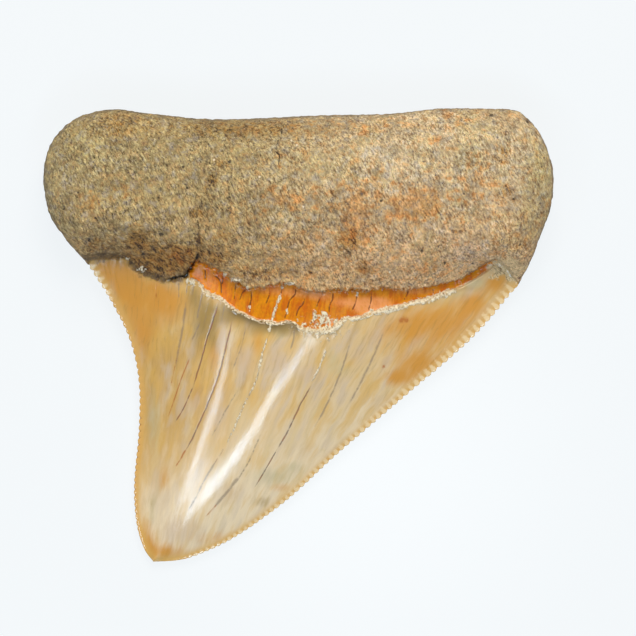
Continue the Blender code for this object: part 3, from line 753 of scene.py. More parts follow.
# ------------------------------------------------------------------------------------------------
# The surface of the tooth, in one piece: two skins that meet at the rim.
# The points of a skin are laid out flat inside the outline, close together where there is fine
# detail, then lifted to their heights and pushed in or out by the relief of each region.
# ------------------------------------------------------------------------------------------------
LINGUAL, LABIAL = 1, -1
SPACINGS = {  # between points, in the fine band of the bourlette, the root's sides, root and crown
    LINGUAL: (0.14, 0.19, 0.2, 0.3),
    LABIAL: (0.3, 0.24, 0.3, 0.42),
}
ROOT_RIM_SPACING = 0.22
KEPT_APART = 0.62  # the least gap between two points, as a share of their spacing
ROW_GAP = 0.06
ROW_KEPT = 0.85  # a row ends where another edge comes nearer than this share of its depth
CRACK_GAP = 0.08
CRACK_FROM_ROWS = 0.12
CRACK_FROM_RIM = 0.3
COARSE_ROWS = 0.4  # from this depth on, the rows inside the rim keep every second point
PIT_RING = 0.7  # the ring of points round a pit or a speck, as a share of its reach
OUTER_RING = 1.9  # a second ring, this many times as wide
INSIDE_ONLY = 1  # asks for the triangles inside the rim
SAME_POINT = 1e-7
FINE_BAND = (1.0, 0.9)  # how far the fine band reaches into the enamel and into the root
FINE_BAND_BELOW_ROOT = 6.0
LABIAL_BORDER = 0.5
SHARP_LEDGE = 0.14
SOFT_LABIAL_LEDGE = 4.0
RAGGED_FOOT = 0.42
RAGGED_SIZE = 0.5
EVEN_FOOT = (11.0, 17.0)  # where the border of the root runs more and more evenly
EVEN_RAGGED = 0.3  # what is left of its raggedness there, and of the border's width
EVEN_BORDER = 0.4
BORDER = 0.6  # the width over which a region's mark goes from 0 to 1
# How far in from the cutting edges their painted glow reaches: light through the thin enamel, drawn
# as gold.
EDGE_GLOW_REACH = 0.9
FOOT_DARKENING_REACH = 0.7  # of the darkening along the root's foot, which is strong on the short edge's side
THICK_FOOT_DARKENING = (-10.0, -14.0)
THIN_FOOT_DARKENING = 0.25
LABIAL_FOOT_DARKENING = 0.3
LABIAL_FRAY = 0.25  # how far the border of the root wanders on the labial side, and how often
LABIAL_FRAY_SIZE = 1.5
REGION_EDGE = (0.35, 0.65)  # the marks between which one region's relief gives way to the next
CALM_BORDER = 0.3  # the relief of the bone calms down this near to its foot
CALMED = 0.6


def wanted_spacing(spots, side):
    """How far apart the points of a skin are to lie at each spot."""
    at = Places(spots)
    fine, root_sides, root, crown = SPACINGS[side]
    index, inset = outline.nearest(spots)
    if side == LABIAL:
        spacing = np.where(at.in_labial_root > -LABIAL_BORDER, root, crown)
    else:
        spacing = np.where(at.in_root > 0, root, crown)
        band = (at.in_enamel < FINE_BAND[0]) & (at.in_root < FINE_BAND[1])
        spacing = np.where(band & (np.abs(at.in_root) < FINE_BAND_BELOW_ROOT), fine, spacing)
    return np.where((inset < ROUNDING_AT_ROOT) & (rootness(index) > 0.5), root_sides, spacing)


def clear_of(points, others, gap):
    """Those of the points that keep this gap to all the others."""
    _, distance = Line(np.array(others)).nearest(points)
    return points[distance > gap]


def lattice(spacing):
    """Points in a triangular pattern inside the outline."""
    low, high = outline.path.min(0), outline.path.max(0)
    rows = np.arange(low[1], high[1], spacing * math.sqrt(3) / 2)
    columns = np.arange(low[0], high[0], spacing)
    x, y = np.meshgrid(columns, rows)
    x[1::2] += spacing / 2
    spots = np.column_stack([x.ravel(), y.ravel()])
    inset, _ = outline.above(spots)
    return spots[inset > spacing * KEPT_APART]


def edge_columns(line, serration_count, from_tip):
    """Steps along a cutting edge, several for each serration, with the way in from each."""
    even = from_tip(np.linspace(0, 1, serration_count * EDGE_COLUMNS + 1))
    shares = from_tip(crowded(even))
    along = np.linspace(0, 1, len(line.path))
    steps = Line(np.column_stack([np.interp(shares, along, axis) for axis in line.path.T]))
    return steps.path[:-1], steps.inward[:-1]


def rim_and_rows():
    """The points of the rim, counter-clockwise from the tip, and rows of points inside it."""
    long_side, long_inward = edge_columns(long_edge, LONG_EDGE_SERRATIONS, lambda share: share)
    short_side, short_inward = edge_columns(
        short_edge, SHORT_EDGE_SERRATIONS, lambda share: 1 - share)
    root_steps = round(length_of(root_edge.path) / ROOT_RIM_SPACING)
    rim = np.vstack([long_side, equal_steps(root_edge.path, root_steps)[:-1], short_side])
    rows = np.empty((0, 2))
    for depth in EDGE_ROWS:
        every = 1 if depth < COARSE_ROWS else 2
        for side, inward in ((long_side, long_inward), (short_side, short_inward)):
            row = (side + inward * depth)[::every]
            inset, _ = outline.above(row)
            row = row[inset > ROW_KEPT * depth]
            rows = np.vstack([rows, clear_of(row, [*rim, *rows], ROW_GAP)])
    return rim, rows


def detail_points():
    """Rows of points along every crack, and rings of them round the pits and the specks."""
    found = np.empty((0, 2))
    for cracks in crack_lines.values():
        for width, line in cracks:
            for offset in CRACK_ROWS:
                row = (line.path + line.inward * offset * width)[::2]
                new = row if len(found) == 0 else clear_of(row, found, CRACK_GAP)
                found = np.vstack([found, new])
    ring = [(math.cos(turn), math.sin(turn)) for turn in np.arange(6) * math.pi / 3]
    rings = np.array([(0, 0)] + ring + [(OUTER_RING * x, OUTER_RING * y) for x, y in ring])
    for middle, reach in PIT_PLACES + PALE_SPECKS:
        new = clear_of(np.array(middle) + PIT_RING * reach * rings, found, CRACK_GAP)
        found = np.vstack([found, new])
    inset, _ = outline.above(found)
    return found[inset > CRACK_FROM_RIM]


def layout(side, rim, rows):
    """The points of a skin, laid out flat, and the triangles between them."""
    points = np.vstack([rim, rows])
    if side == LINGUAL:
        points = np.vstack([points, clear_of(detail_points(), points, CRACK_FROM_ROWS)])
    for spacing in sorted(set(SPACINGS[side])):
        spots = lattice(spacing)
        spots = spots[wanted_spacing(spots, side) == spacing]
        points = np.vstack([points, clear_of(spots, points, spacing * KEPT_APART)])
    border = [list(range(len(rim)))]
    flat = [Vector(point) for point in points]
    found = delaunay_2d_cdt(flat, [], border, INSIDE_ONLY, SAME_POINT)
    sources = np.array([source[0] for source in found[3]])
    return points, sources[np.array(found[2])]


def lifted(spots, side):
    """The points of a skin at their heights, and all that is known of their places."""
    index, _ = outline.nearest(spots)
    inward = outline.inward[index]
    inset = np.maximum(np.sum(inward * (spots - outline.path[index]), axis=1), 0)
    root_share = rootness(index)
    rounding = blend(ROUNDING_AT_EDGE, ROUNDING_AT_ROOT, root_share)
    turn = np.minimum(inset / rounding, 1) * math.pi / 2
    kept = np.where(inset < rounding, rounding * (1 - np.cos(turn)), inset)
    cut, swell = serrations(index, inset)
    moved = spots + inward * (kept - inset + cut)[:, None]

    at = Places(moved)
    at.inset, at.rim_index, at.root_share, at.swell = inset, index, root_share, swell
    even = smooth_step(*EVEN_FOOT, moved[:, 0])
    ragged_foot = RAGGED_FOOT * blend(1, EVEN_RAGGED, even)
    at.in_root += ragged_foot * lumps(moved, RAGGED_SIZE, 3, seed=3.0)
    if side == LINGUAL:
        crown = crown_height(at)
        crown -= ENAMEL_LEDGE * bare(at)
        rise = smooth_step(-SHARP_LEDGE, SHARP_LEDGE, at.in_root)
        height = blend(crown, root_height(at, crown), rise)
    else:
        rise = smooth_step(-LEDGE_WIDTH / 2, SOFT_LABIAL_LEDGE, at.in_labial_root)
        lowest = blend(labial_crown_height(at), labial_root_height(at), rise)
        height = np.maximum(0, lowest - WORN_FLAT)
    blunt = np.sqrt(1 - (1 - np.minimum(inset / EDGE_ROUND, 1)) ** 2)
    rim = rim_height(index) + side * HALF_EDGE * blunt
    return np.column_stack([moved, blend(rim, height, np.sin(turn))]), at


def normals_of(points, triangles):
    """The way out of the surface at each point."""
    a, b, c = (points[triangles[:, i]] for i in range(3))
    facing = np.cross(b - a, c - a)
    total = np.zeros_like(points)
    for corner in range(3):
        np.add.at(total, triangles[:, corner], facing)
    return total / np.linalg.norm(total, axis=1)[:, None]


def toned(spots, patches):
    """How much of a tone its patches lay on each spot."""
    laid = sum(amount * bell(spots, middle, spread) for middle, spread, amount in patches)
    return np.clip(laid, 0, 1)


def marks_of(at, side):
    """The regions, cracks and tones at each point, for the relief and for the finish."""
    spots = at.spots
    lingual = side == LINGUAL
    nothing = np.zeros(len(spots))
    in_root = at.in_root
    if not lingual:
        in_root = at.in_labial_root + LABIAL_FRAY * lumps(spots, LABIAL_FRAY_SIZE, 3, seed=3.0)
    crust_amount, shade = crust(at) if lingual else (nothing, nothing)
    serrated, crest, notch = serration_marks(at.rim_index, at.inset)
    border = BORDER * blend(1, EVEN_BORDER, smooth_step(*EVEN_FOOT, spots[:, 0]))
    in_bourlette = np.clip(0.5 - at.in_enamel / BORDER, 0, 1) * between_ends(at)
    marks = {
        "root": np.clip(0.5 + in_root / border, 0, 1),
        "bare": in_bourlette if lingual else nothing,
        "crust": crust_amount,
        "shade": shade,
        "edge": (1 - at.root_share) * np.exp(-at.to_edge / EDGE_GLOW_REACH),
        "serrated": serrated,
        "crest": crest,
        "notch": notch,
        "foot_darkening": np.exp(-np.abs(in_root) / FOOT_DARKENING_REACH),
        "salmon_and_sheen": toned(spots, SALMON_AND_SHEEN) if lingual else nothing,
        "corner": within(spots, *CORNER_CRUST) if lingual else nothing,
    }
    for kind in CRACK_DEPTH:
        marks[kind] = crack_strength(spots, kind, seed=6.0) if lingual else nothing
    for tone, patches in ROOT_TONES.items():
        marks["root_" + tone] = toned(spots, patches)
    for tone, patches in CROWN_TONES.items():
        marks["crown_" + tone] = toned(spots, patches)
    thick = smooth_step(*THICK_FOOT_DARKENING, spots[:, 0]) + THIN_FOOT_DARKENING
    marks["foot_darkening"] *= thick if lingual else LABIAL_FOOT_DARKENING
    return marks


def relief_of(points, at, marks, side):
    """How far the fine relief of its region pushes each point out of the surface, or in."""
    bone, marks["hole"], marks["speck"] = root_relief(points, side == LINGUAL)
    bone *= 1 - CALMED * np.exp(-np.abs(at.in_root) / CALM_BORDER)
    enamel = crown_relief(at) * (1 - marks["serrated"])
    on_root = smooth_step(*REGION_EDGE, marks["root"])
    total = blend(enamel, bone, on_root)
    total += at.swell * (1 - on_root)
    heaped = CRUST_EVEN + CRUST_LUMPY * lumps(points, CRUST_LUMP_SIZE, 3, seed=8.0)
    total += smooth_step(*REGION_EDGE, marks["crust"]) * CRUST_HEIGHT * heaped
    for kind, depth in CRACK_DEPTH.items():
        total -= depth * marks[kind]
    return total


def tooth_surface():
    """The points, triangles, map places and marks of the whole tooth."""
    rim, rows = rim_and_rows()
    flat, solid, triangles, marks = [], [], [], []
    start = 0
    for side in (LINGUAL, LABIAL):
        spots, faces = layout(side, rim, rows)
        places, at = lifted(spots, side)
        new_marks = marks_of(at, side)
        relief = relief_of(places, at, new_marks, side)
        if side == LABIAL:
            inner = np.concatenate([np.arange(len(rim)), np.arange(len(rim), len(spots)) + start])
            faces = inner[faces[:, ::-1]]
            spots, places, relief = (array[len(rim):] for array in (spots, places, relief))
            new_marks = {name: mark[len(rim):] for name, mark in new_marks.items()}
        else:
            start = len(spots) - len(rim)
        flat.append(spots)
        solid.append((places, relief))
        triangles.append(faces)
        marks.append(new_marks)
    points = np.vstack([places for places, _ in solid])
    every = np.vstack(triangles)
    relief = np.concatenate([amount for _, amount in solid])
    points += normals_of(points, every) * relief[:, None]
    points[:, 2] = np.maximum(points[:, 2], 0)
    merged = {name: np.concatenate([mark[name] for mark in marks]) for name in marks[0]}
    return points, every, np.vstack(flat), len(triangles[0]), merged


points, triangles, flat_places, lingual_count, marks = tooth_surface()

# ------------------------------------------------------------------------------------------------
# The tooth as one closed object, with its marks on its points and one flat map for its colours.
# It is a loose piece: it is fixed to nothing and only lies on the table.
# ------------------------------------------------------------------------------------------------
tooth_low, tooth_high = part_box("tooth")
low, high = points.min(0), points.max(0)
MM = (tooth_high.x - tooth_low.x) / (high[0] - low[0])  # one drawn millimetre, in metres
foot = np.array([(tooth_low.x + tooth_high.x) / 2, (tooth_low.y + tooth_high.y) / 2, tooth_low.z])
foot_of_drawing = np.array([(low[0] + high[0]) / 2, (low[1] + high[1]) / 2, 0])
mesh = bpy.data.meshes.new("fossil_tooth")
mesh.from_pydata((points - foot_of_drawing) * MM + foot, [], triangles.tolist())
mesh.shade_smooth()
for name, mark in marks.items():
    layer = mesh.attributes.new(name, "FLOAT", "POINT")
    layer.data.foreach_set("value", mark.astype(np.float32))

# One flat map for both skins: the labial one is turned round, so that the two crowns nest.
MAP_SIDE = 79.0  # the width of the map, in drawn millimetres
MAP_CORNER = np.array([31.5, 52.2])
LABIAL_ON_MAP = np.array([16.0, -24.0])
corners = flat_places[triangles]
corners[lingual_count:] = LABIAL_ON_MAP - corners[lingual_count:]
flat_map = mesh.uv_layers.new(name="OFBake")
flat_map.data.foreach_set("uv", ((corners + MAP_CORNER) / MAP_SIDE).ravel())

tooth = bpy.data.objects.new("fossil_tooth", mesh)
bpy.context.scene.collection.objects.link(tooth)
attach(tooth, "root")
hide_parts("tooth")

# ------------------------------------------------------------------------------------------------
# The material of the tooth: one stone-hard skin that minerals have stained. Its tones are mixed
# from the marks above and from noise, which is laid in the tooth's own frame, in its millimetres.
# ------------------------------------------------------------------------------------------------
NOISE_RANGE = (0.22, 0.78)  # nearly all of a noise lies between these

finish = bpy.data.materials.new("fossil_tooth")
finish.use_nodes = True
nodes, links = finish.node_tree.nodes, finish.node_tree.links
shader = nodes["Principled BSDF"]


def add(kind, inputs, **settings):
    """A shader node with these inputs, each of them a value or the output of another node."""
    node = nodes.new("ShaderNode" + kind)
    for name, setting in settings.items():
        setattr(node, name, setting)
    for name, value in inputs.items():
        if isinstance(value, bpy.types.NodeSocket):
            links.new(value, node.inputs[name])
        else:
            node.inputs[name].default_value = value
    return node.outputs


def sum_of(a, b):
    return add("Math", {0: a, 1: b}, operation="ADD")[0]


def product(a, b):
    return add("Math", {0: a, 1: b}, operation="MULTIPLY")[0]


def largest(a, b):
    return add("Math", {0: a, 1: b}, operation="MAXIMUM")[0]


def step(value, low, high, bottom=0.0, top=1.0):
    """A smooth rise from bottom to top as the value goes from low to high."""
    limits = {"Value": value, "From Min": low, "From Max": high, "To Min": bottom, "To Max": top}
    return add("MapRange", limits, interpolation_type="SMOOTHSTEP")["Result"]


def mark(name):
    return add("Attribute", {}, attribute_name=name)["Fac"]


def mixed(a, b, share):
    return add("Mix", {0: share, 6: a, 7: b}, data_type="RGBA")[2]


def colour(red, green, blue):
    """A colour as it looks, each part from 0 to 255."""
    return [((part / 255 + 0.055) / 1.055) ** 2.4 for part in (red, green, blue)] + [1.0]


def grain(where, size, detail=3.0, rough=0.6):
    """Noise from 0 to 1, with features about this many millimetres across."""
    inputs = {"Vector": where, "Scale": 1 / size, "Detail": detail, "Roughness": rough}
    return step(add("TexNoise", inputs)["Fac"], *NOISE_RANGE)


def shifted(value, by, reach):
    """The value moved up and down by a noise, so that its edge wanders."""
    return sum_of(value, product(sum_of(by, -0.5), reach))


def ragged(name, by, reach=1.0):
    """A patch of tone whose edge is broken up by a noise."""
    return product(step(shifted(mark(name), by, reach), 0.1, 0.8), step(mark(name), 0.02, 0.2))


def soft(name, by):
    """A patch of tone that fades out slowly and unevenly."""
    return product(step(shifted(mark(name), by, 0.5), 0.0, 1.1), step(mark(name), 0.0, 0.3))


def frayed(name, by, reach, low, high):
    """Where a region lies, with its border broken up by a noise and its middle left whole."""
    border = product(step(mark(name), 0.02, 0.2), step(shifted(mark(name), by, reach), low, high))
    return largest(border, step(mark(name), 0.8, 0.98))


def dotted(value, by, low, high):
    """A thin line broken up by a noise into darker and fainter lengths."""
    return step(product(value, step(by, 0.0, 0.7, 0.5, 1.35)), low, high)


def shaded(tone, by, darkest, lightest):
    """A colour made darker and lighter by a noise."""
    factor = add("MapRange", {"Value": by, "To Min": darkest, "To Max": lightest})["Result"]
    return add("VectorMath", {0: tone, "Scale": factor}, operation="SCALE")[0]


def tinted(tone, tint, share):
    """A colour drawn towards its own product with a tint."""
    return mixed(tone, add("VectorMath", {0: tone, 1: tint}, operation="MULTIPLY")[0], share)


def turned(where, angle, along, across):
    """The same places along and across a direction, each stretched by the share given."""
    turn = math.radians(angle)
    forward = add("VectorMath", {0: where, 1: (math.cos(turn), math.sin(turn), 0)},
                  operation="DOT_PRODUCT")["Value"]
    side = add("VectorMath", {0: where, 1: (-math.sin(turn), math.cos(turn), 0)},
               operation="DOT_PRODUCT")["Value"]
    up = add("SeparateXYZ", {0: where})["Z"]
    return add("CombineXYZ", {"X": product(forward, along), "Y": product(side, across), "Z": up})[0]


place = add("TexCoord", {})["Object"]
place = add("VectorMath", {0: place, "Scale": 1 / MM}, operation="SCALE")[0]
axes = add("SeparateXYZ", {0: place})

# ------------------------------------------------------------------------------------------------
# The finish of the root: matt bone, a dense grit of cream, rust, purple and blue-grey on a brown
# ground. It is more olive to the left, pinker to the right and cooler above, and it is painted
# warmer below, against the cool light of the arc there.
# ------------------------------------------------------------------------------------------------
OLIVE_BONE = colour(158, 134, 87)
PINK_BONE = colour(198, 169, 126)
STRAW = colour(182, 158, 104)
RUST = colour(204, 154, 92)
PURPLE_BROWN = colour(140, 110, 86)
CREAM_GRIT = colour(224, 202, 144)
OCHRE = colour(200, 146, 84)
ASH = colour(168, 154, 136)
BRIGHT_GRAINS = (colour(216, 196, 144), colour(232, 218, 190))  # to the left and to the right
DARK_GRAINS = (colour(70, 45, 22), colour(112, 73, 44))
BLUE_GREY = colour(70, 68, 80)
HOLE_BROWN = colour(62, 50, 42)
SPECK_CREAM = colour(240, 226, 198)
ROOT_FOOT_DARK = colour(86, 62, 34)
SEAM_BROWN = colour(54, 40, 30)
FISSURE_BROWN = colour(50, 36, 24)
FLANK_PAINTED_SHADE = colour(70, 54, 34)
STAIN_OCHRE = colour(192, 150, 88)
STAIN_BLACK = colour(38, 24, 12)
PAINTED_WARMTH_AT_FOOT = (1.2, 1.05, 0.93)
COOLER_TOP = (1.05, 1.12, 1.18)
PALE_TINT = (1.16, 1.2, 1.3)
COOL_TINT = (1.0, 1.04, 1.2)
OLIVE_TINT = (0.84, 0.88, 0.76)
WARM_TINT = (1.0, 0.75, 0.51)
DARK_TINT = (0.78, 0.58, 0.3)
GRIT_ANGLE = -63.0

blotch = grain(place, 4.5, 3.0, 0.55)
patch = grain(place, 1.4, 5.0, 0.7)
grit = grain(turned(place, GRIT_ANGLE, 0.5, 1.2), 0.28, 3.0, 0.85)
grit_two = grain(turned(place, GRIT_ANGLE + 12, 0.6, 1.2), 0.42, 3.0, 0.75)
fine = grain(place, 0.3, 3.0, 0.7)
mottle = grain(place, 0.9, 3.0, 0.6)
rusty = grain(turned(place, GRIT_ANGLE + 6, 0.6, 1.0), 0.6, 5.0, 0.85)
calm = grain(place, 2.6, 3.0, 0.6)
to_right = step(sum_of(axes["X"], product(blotch, 8.0)), -8.0, 16.0)
rust_share = step(axes["X"], -14.0, 2.0, 0.5, 1.0)

bone = mixed(OLIVE_BONE, PINK_BONE, to_right)
bone = mixed(bone, STRAW, step(blotch, 0.4, 0.9, top=0.6))
bone = mixed(bone, RUST, product(step(rusty, 0.5, 0.95, top=0.75), rust_share))
bone = mixed(bone, PURPLE_BROWN, step(grit_two, 0.4, 0.05, top=0.8))
bone = mixed(bone, CREAM_GRIT, step(grit_two, 0.6, 0.95, top=0.7))
bone = mixed(bone, OCHRE, product(step(mottle, 0.55, 0.95, top=0.75), rust_share))
bone = mixed(bone, ASH, step(mottle, 0.45, 0.05, top=0.65))
bone = shaded(bone, patch, 0.62, 1.42)

# The grit, dense everywhere but fainter in calm places.
grained = shaded(bone, grit, 0.34, 1.56)
grained = mixed(grained, mixed(*BRIGHT_GRAINS, to_right), step(grit, 0.56, 0.95, top=0.6))
grained = mixed(grained, mixed(*DARK_GRAINS, to_right), product(step(grit, 0.42, 0.05), 0.9))
bone = mixed(bone, grained, step(calm, 0.15, 0.7, 0.55, 1.0))

# The larger stains. The warmth towards the foot is painted against the cool light of the arc there,
# and the thin pale and dark bands along the root's top edge are painted light and painted shade.
# Painted warmth towards the foot, to offset the cool light of the arc on the lower slopes.
bone = tinted(bone, PAINTED_WARMTH_AT_FOOT, step(axes["Y"], 15.0, 8.0))
bone = tinted(bone, COOLER_TOP, step(axes["Y"], 14.0, 21.0))
bone = tinted(bone, PALE_TINT, product(ragged("root_pale", rusty, 1.2), 0.85))
bone = tinted(bone, COOL_TINT, product(ragged("root_cool", patch), 0.85))
bone = tinted(bone, OLIVE_TINT, product(ragged("root_olive", patch), 0.8))
bone = tinted(bone, WARM_TINT, product(ragged("root_warm", mottle, 1.0), 0.8))
dark = ragged("root_dark", rusty, 1.2)
bone = tinted(bone, DARK_TINT, product(dark, 0.95))
bone = mixed(bone, STAIN_OCHRE, product(dark, step(grit_two, 0.6, 0.9, top=0.7)))
bone = mixed(bone, STAIN_BLACK, product(dark, step(grit_two, 0.48, 0.2, top=0.9)))

# Blue-grey dots, the holes and specks, the darkening along its foot, its cracks, and painted shade
# on its steep flanks.
bone = mixed(bone, BLUE_GREY, step(fine, 0.2, 0.08, top=0.85))
bone = mixed(bone, HOLE_BROWN, step(shifted(mark("hole"), fine, 0.5), 0.45, 0.7, top=0.85))
bone = mixed(bone, SPECK_CREAM, step(mark("speck"), 0.3, 0.7, top=0.9))
# Darker along the root's foot, most on the short edge's side.
foot_darkening = shifted(mark("foot_darkening"), patch, 0.8)
bone = mixed(bone, ROOT_FOOT_DARK, product(step(foot_darkening, 0.3, 0.9), 0.75))
seam = product(mark("seam"), step(rusty, 0.35, 0.8, top=1.6))
bone = mixed(bone, SEAM_BROWN, product(step(shifted(seam, grit, 0.5), 0.3, 0.9), 0.8))
bone = mixed(bone, FISSURE_BROWN, product(dotted(mark("fissure"), fine, 0.15, 0.7), 0.9))
# Painted shade: the more steeply the bone turns away from the light above, the darker it is drawn.
upright = add("SeparateXYZ", {0: add("NewGeometry", {})["Normal"]})["Z"]
bone = mixed(bone, FLANK_PAINTED_SHADE, step(upright, 0.55, 0.1, top=0.6))

# ------------------------------------------------------------------------------------------------
# The finish of the crown: polished enamel, amber near the root and cream towards the tip, in soft
# streaks that fan out along its growth. Its serrated edges are golden, with pale beads.
# ------------------------------------------------------------------------------------------------
AMBER = colour(207, 165, 98)
PALE_AMBER = colour(220, 188, 136)
CREAM = colour(239, 215, 176)
DRIFT_CREAM = colour(226, 199, 148)
DARK_STREAK = colour(178, 142, 82)
LIGHT_STREAK = colour(228, 200, 150)
HAIRLINE = colour(150, 118, 66)
GOLD_TINGE = colour(221, 174, 88)
GREY_TINGE = colour(206, 185, 160)
CROWN_COLOURS = {  # of the patches in the enamel, each with how strongly it is laid on
    "pale": (colour(224, 199, 152), 0.8), "rose": (colour(208, 180, 148), 0.75),
    "sage": (colour(192, 180, 138), 0.7), "olive": (colour(164, 134, 74), 0.95),
    "gold": (colour(214, 149, 60), 0.95),
}
CRUST_SHADE = colour(112, 94, 58)
EDGE_GLOW_GOLD = colour(224, 174, 92)
SERRATION_GOLD = colour(222, 172, 100)
BEAD_CREAM = colour(243, 213, 162)
NOTCH_BROWN = colour(165, 110, 58)
SPLIT_GREY = colour(82, 78, 76)
SPLIT_BROWN = colour(142, 92, 66)
FAINT_CRACK = colour(142, 124, 104)
RUSTY_CRACK = colour(176, 98, 44)
ENAMEL_FOOT_DARK = colour(100, 72, 40)
AWAY = (40.0, 7.0, 3.0)  # far enough for a second noise to differ from the first

from_fan = add("VectorMath", {0: place, 1: (FAN[0], FAN[1], 0.0)}, operation="SUBTRACT")[0]
fan = add("SeparateXYZ", {0: from_fan})
fan_across = add("Math", {0: product(fan["X"], -FAN[1]), 1: fan["Y"]}, operation="DIVIDE")[0]
wavy = sum_of(fan_across, product(grain(place, 3.0, 2.0, 0.5), 0.4))


def along_growth(length):
    """The places along the growth of the crown, drawn out more the smaller this share is."""
    return add("CombineXYZ", {"X": wavy, "Y": product(fan["Y"], length),
                              "Z": product(fan["Z"], 0.3)})[0]


grown = along_growth(0.12)
drifting = along_growth(0.35)
streak = grain(grown, 1.0, 3.0, 0.6)
thin_streak = grain(grown, 0.3, 3.0, 0.6)
drift = grain(drifting, 1.6, 4.0, 0.6)
tint = grain(add("VectorMath", {0: drifting, 1: AWAY}, operation="ADD")[0], 1.6, 3.0, 0.5)
streaked = step(axes["Y"], -13.0, 0.0, 0.15, 1.0)
tinged = step(axes["Y"], -18.0, -3.0, 0.35, 0.65)
lower = sum_of(sum_of(axes["Y"], product(axes["X"], -0.35)), product(drift, 6.0))

enamel = mixed(AMBER, PALE_AMBER, step(sum_of(axes["X"], product(drift, 8.0)), -14.0, 8.0))
enamel = mixed(enamel, CREAM, step(lower, -1.0, -15.0))
enamel = mixed(enamel, DRIFT_CREAM, step(drift, 0.5, 1.0, top=0.6))
enamel = mixed(enamel, DARK_STREAK, product(step(streak, 0.5, 0.0), product(streaked, 0.5)))
enamel = mixed(enamel, LIGHT_STREAK, product(step(streak, 0.55, 1.0), product(streaked, 0.35)))
enamel = mixed(enamel, GOLD_TINGE, product(step(tint, 0.5, 0.95), tinged))
enamel = mixed(enamel, GREY_TINGE, product(step(tint, 0.5, 0.05), tinged))
for tone, (its_colour, strength) in CROWN_COLOURS.items():
    enamel = mixed(enamel, its_colour, product(soft("crown_" + tone, drift), strength))
enamel = mixed(enamel, HAIRLINE, product(step(thin_streak, 0.35, 0.1), product(streaked, 0.2)))
enamel = shaded(enamel, thin_streak, 0.975, 1.025)

# The shade under the crust, the cutting edges with their painted glow, the cracks, and the darkening
# along the root's foot.
enamel = mixed(enamel, CRUST_SHADE, product(mark("shade"), 0.9))
# Painted glow: a golden band along the cutting edges, where light shines through the thin enamel.
enamel = mixed(enamel, EDGE_GLOW_GOLD, product(step(mark("edge"), 0.22, 0.75), 0.85))
enamel = mixed(enamel, SERRATION_GOLD, product(step(mark("serrated"), 0.1, 0.7), 0.6))
bead = step(shifted(mark("crest"), fine, 0.3), 0.22, 0.6)
enamel = mixed(enamel, BEAD_CREAM, product(bead, 0.85))
enamel = mixed(enamel, NOTCH_BROWN, product(step(mark("notch"), 0.3, 0.7), 0.75))
split_tone = mixed(SPLIT_GREY, SPLIT_BROWN, step(patch, 0.35, 0.65))
enamel = mixed(enamel, split_tone, product(dotted(mark("split"), patch, 0.15, 0.9), 0.8))
enamel = mixed(enamel, FAINT_CRACK, product(dotted(mark("grey"), patch, 0.1, 1.0), 0.65))
enamel = mixed(enamel, RUSTY_CRACK, product(dotted(mark("rust"), patch, 0.15, 0.9), 0.7))
enamel = mixed(enamel, ENAMEL_FOOT_DARK, product(step(foot_darkening, 0.5, 1.0), 0.7))

# ------------------------------------------------------------------------------------------------
# The finish of the bourlette: deep orange dentine in small pillows, with a salmon lip that is partly
# painted sheen, a left end painted lighter against the shade it lies in, and dark cracks. It is
# duller than the enamel.
# ------------------------------------------------------------------------------------------------
DEEP_ORANGE = colour(200, 100, 0)
BRIGHT_ORANGE = colour(220, 138, 0)
SALMON_SHEEN_PINK = colour(236, 156, 94)
PILLOW_CRACK = colour(100, 50, 18)
PAINTED_LIGHT_LEFT_END = (1.3, 1.2, 0.9)

pillow = grain(turned(place, 82.0, 0.4, 1.3), 0.9, 4.0, 0.65)
dentine = mixed(DEEP_ORANGE, BRIGHT_ORANGE, step(pillow, 0.1, 0.8))
dentine = shaded(dentine, fine, 0.85, 1.12)
# Painted light: the left end is drawn paler, to offset the shade of its tilted surface below the
# root.
dentine = tinted(dentine, PAINTED_LIGHT_LEFT_END, step(axes["X"], -6.0, -11.0))
# The salmon lip: partly pinker dentine, partly painted sheen.
lip_and_sheen = product(soft("salmon_and_sheen", pillow), step(rusty, 0.1, 0.7, 0.4, 0.95))
dentine = mixed(dentine, SALMON_SHEEN_PINK, lip_and_sheen)
dentine = mixed(dentine, PILLOW_CRACK, product(dotted(mark("cell"), patch, 0.25, 0.7), 0.85))

# ------------------------------------------------------------------------------------------------
# The finish of the crust and of the filled cracks: matt cream sediment with brown specks. The
# crust on the right-hand corner is browner, and partly covers the bone there.
# ------------------------------------------------------------------------------------------------
SEDIMENT_TAN = colour(204, 178, 134)
SEDIMENT_CREAM = colour(250, 237, 206)
SEDIMENT_SPECK = colour(120, 88, 56)
CORNER_BROWN = colour(142, 112, 74)
CORNER_CREAM = colour(232, 204, 154)

sediment = mixed(SEDIMENT_TAN, SEDIMENT_CREAM, step(fine, 0.15, 0.7))
sediment = mixed(sediment, SEDIMENT_SPECK, step(grit, 0.36, 0.14, top=0.85))
corner_tone = mixed(CORNER_BROWN, CORNER_CREAM, step(grit, 0.1, 0.65))

# ------------------------------------------------------------------------------------------------
# All of these on the tooth, with painted shade in the crevice at the bourlette's left end. It is
# matt on the bone and the crust, dull on the dentine and polished on the enamel.
# ------------------------------------------------------------------------------------------------
CREVICE_PAINTED_SHADE = colour(36, 24, 14)
ENAMEL_ROUGHNESS = (0.12, 0.17)
DENTINE_ROUGHNESS = 0.18
MATT_ROUGHNESS = 0.9
MINERAL_IOR = 1.55
BUMP_STRENGTH = 0.8
GRIT_BUMP = 0.1
FINE_BUMP = 0.05
STREAK_BUMP = 0.002


def lies(name, by, broken, whole):
    """Where a region lies. A noise breaks its border up, between the two marks given first, and
    nothing is left of it outside the two that follow."""
    return product(step(shifted(mark(name), by, 1.0), *broken), step(mark(name), *whole))


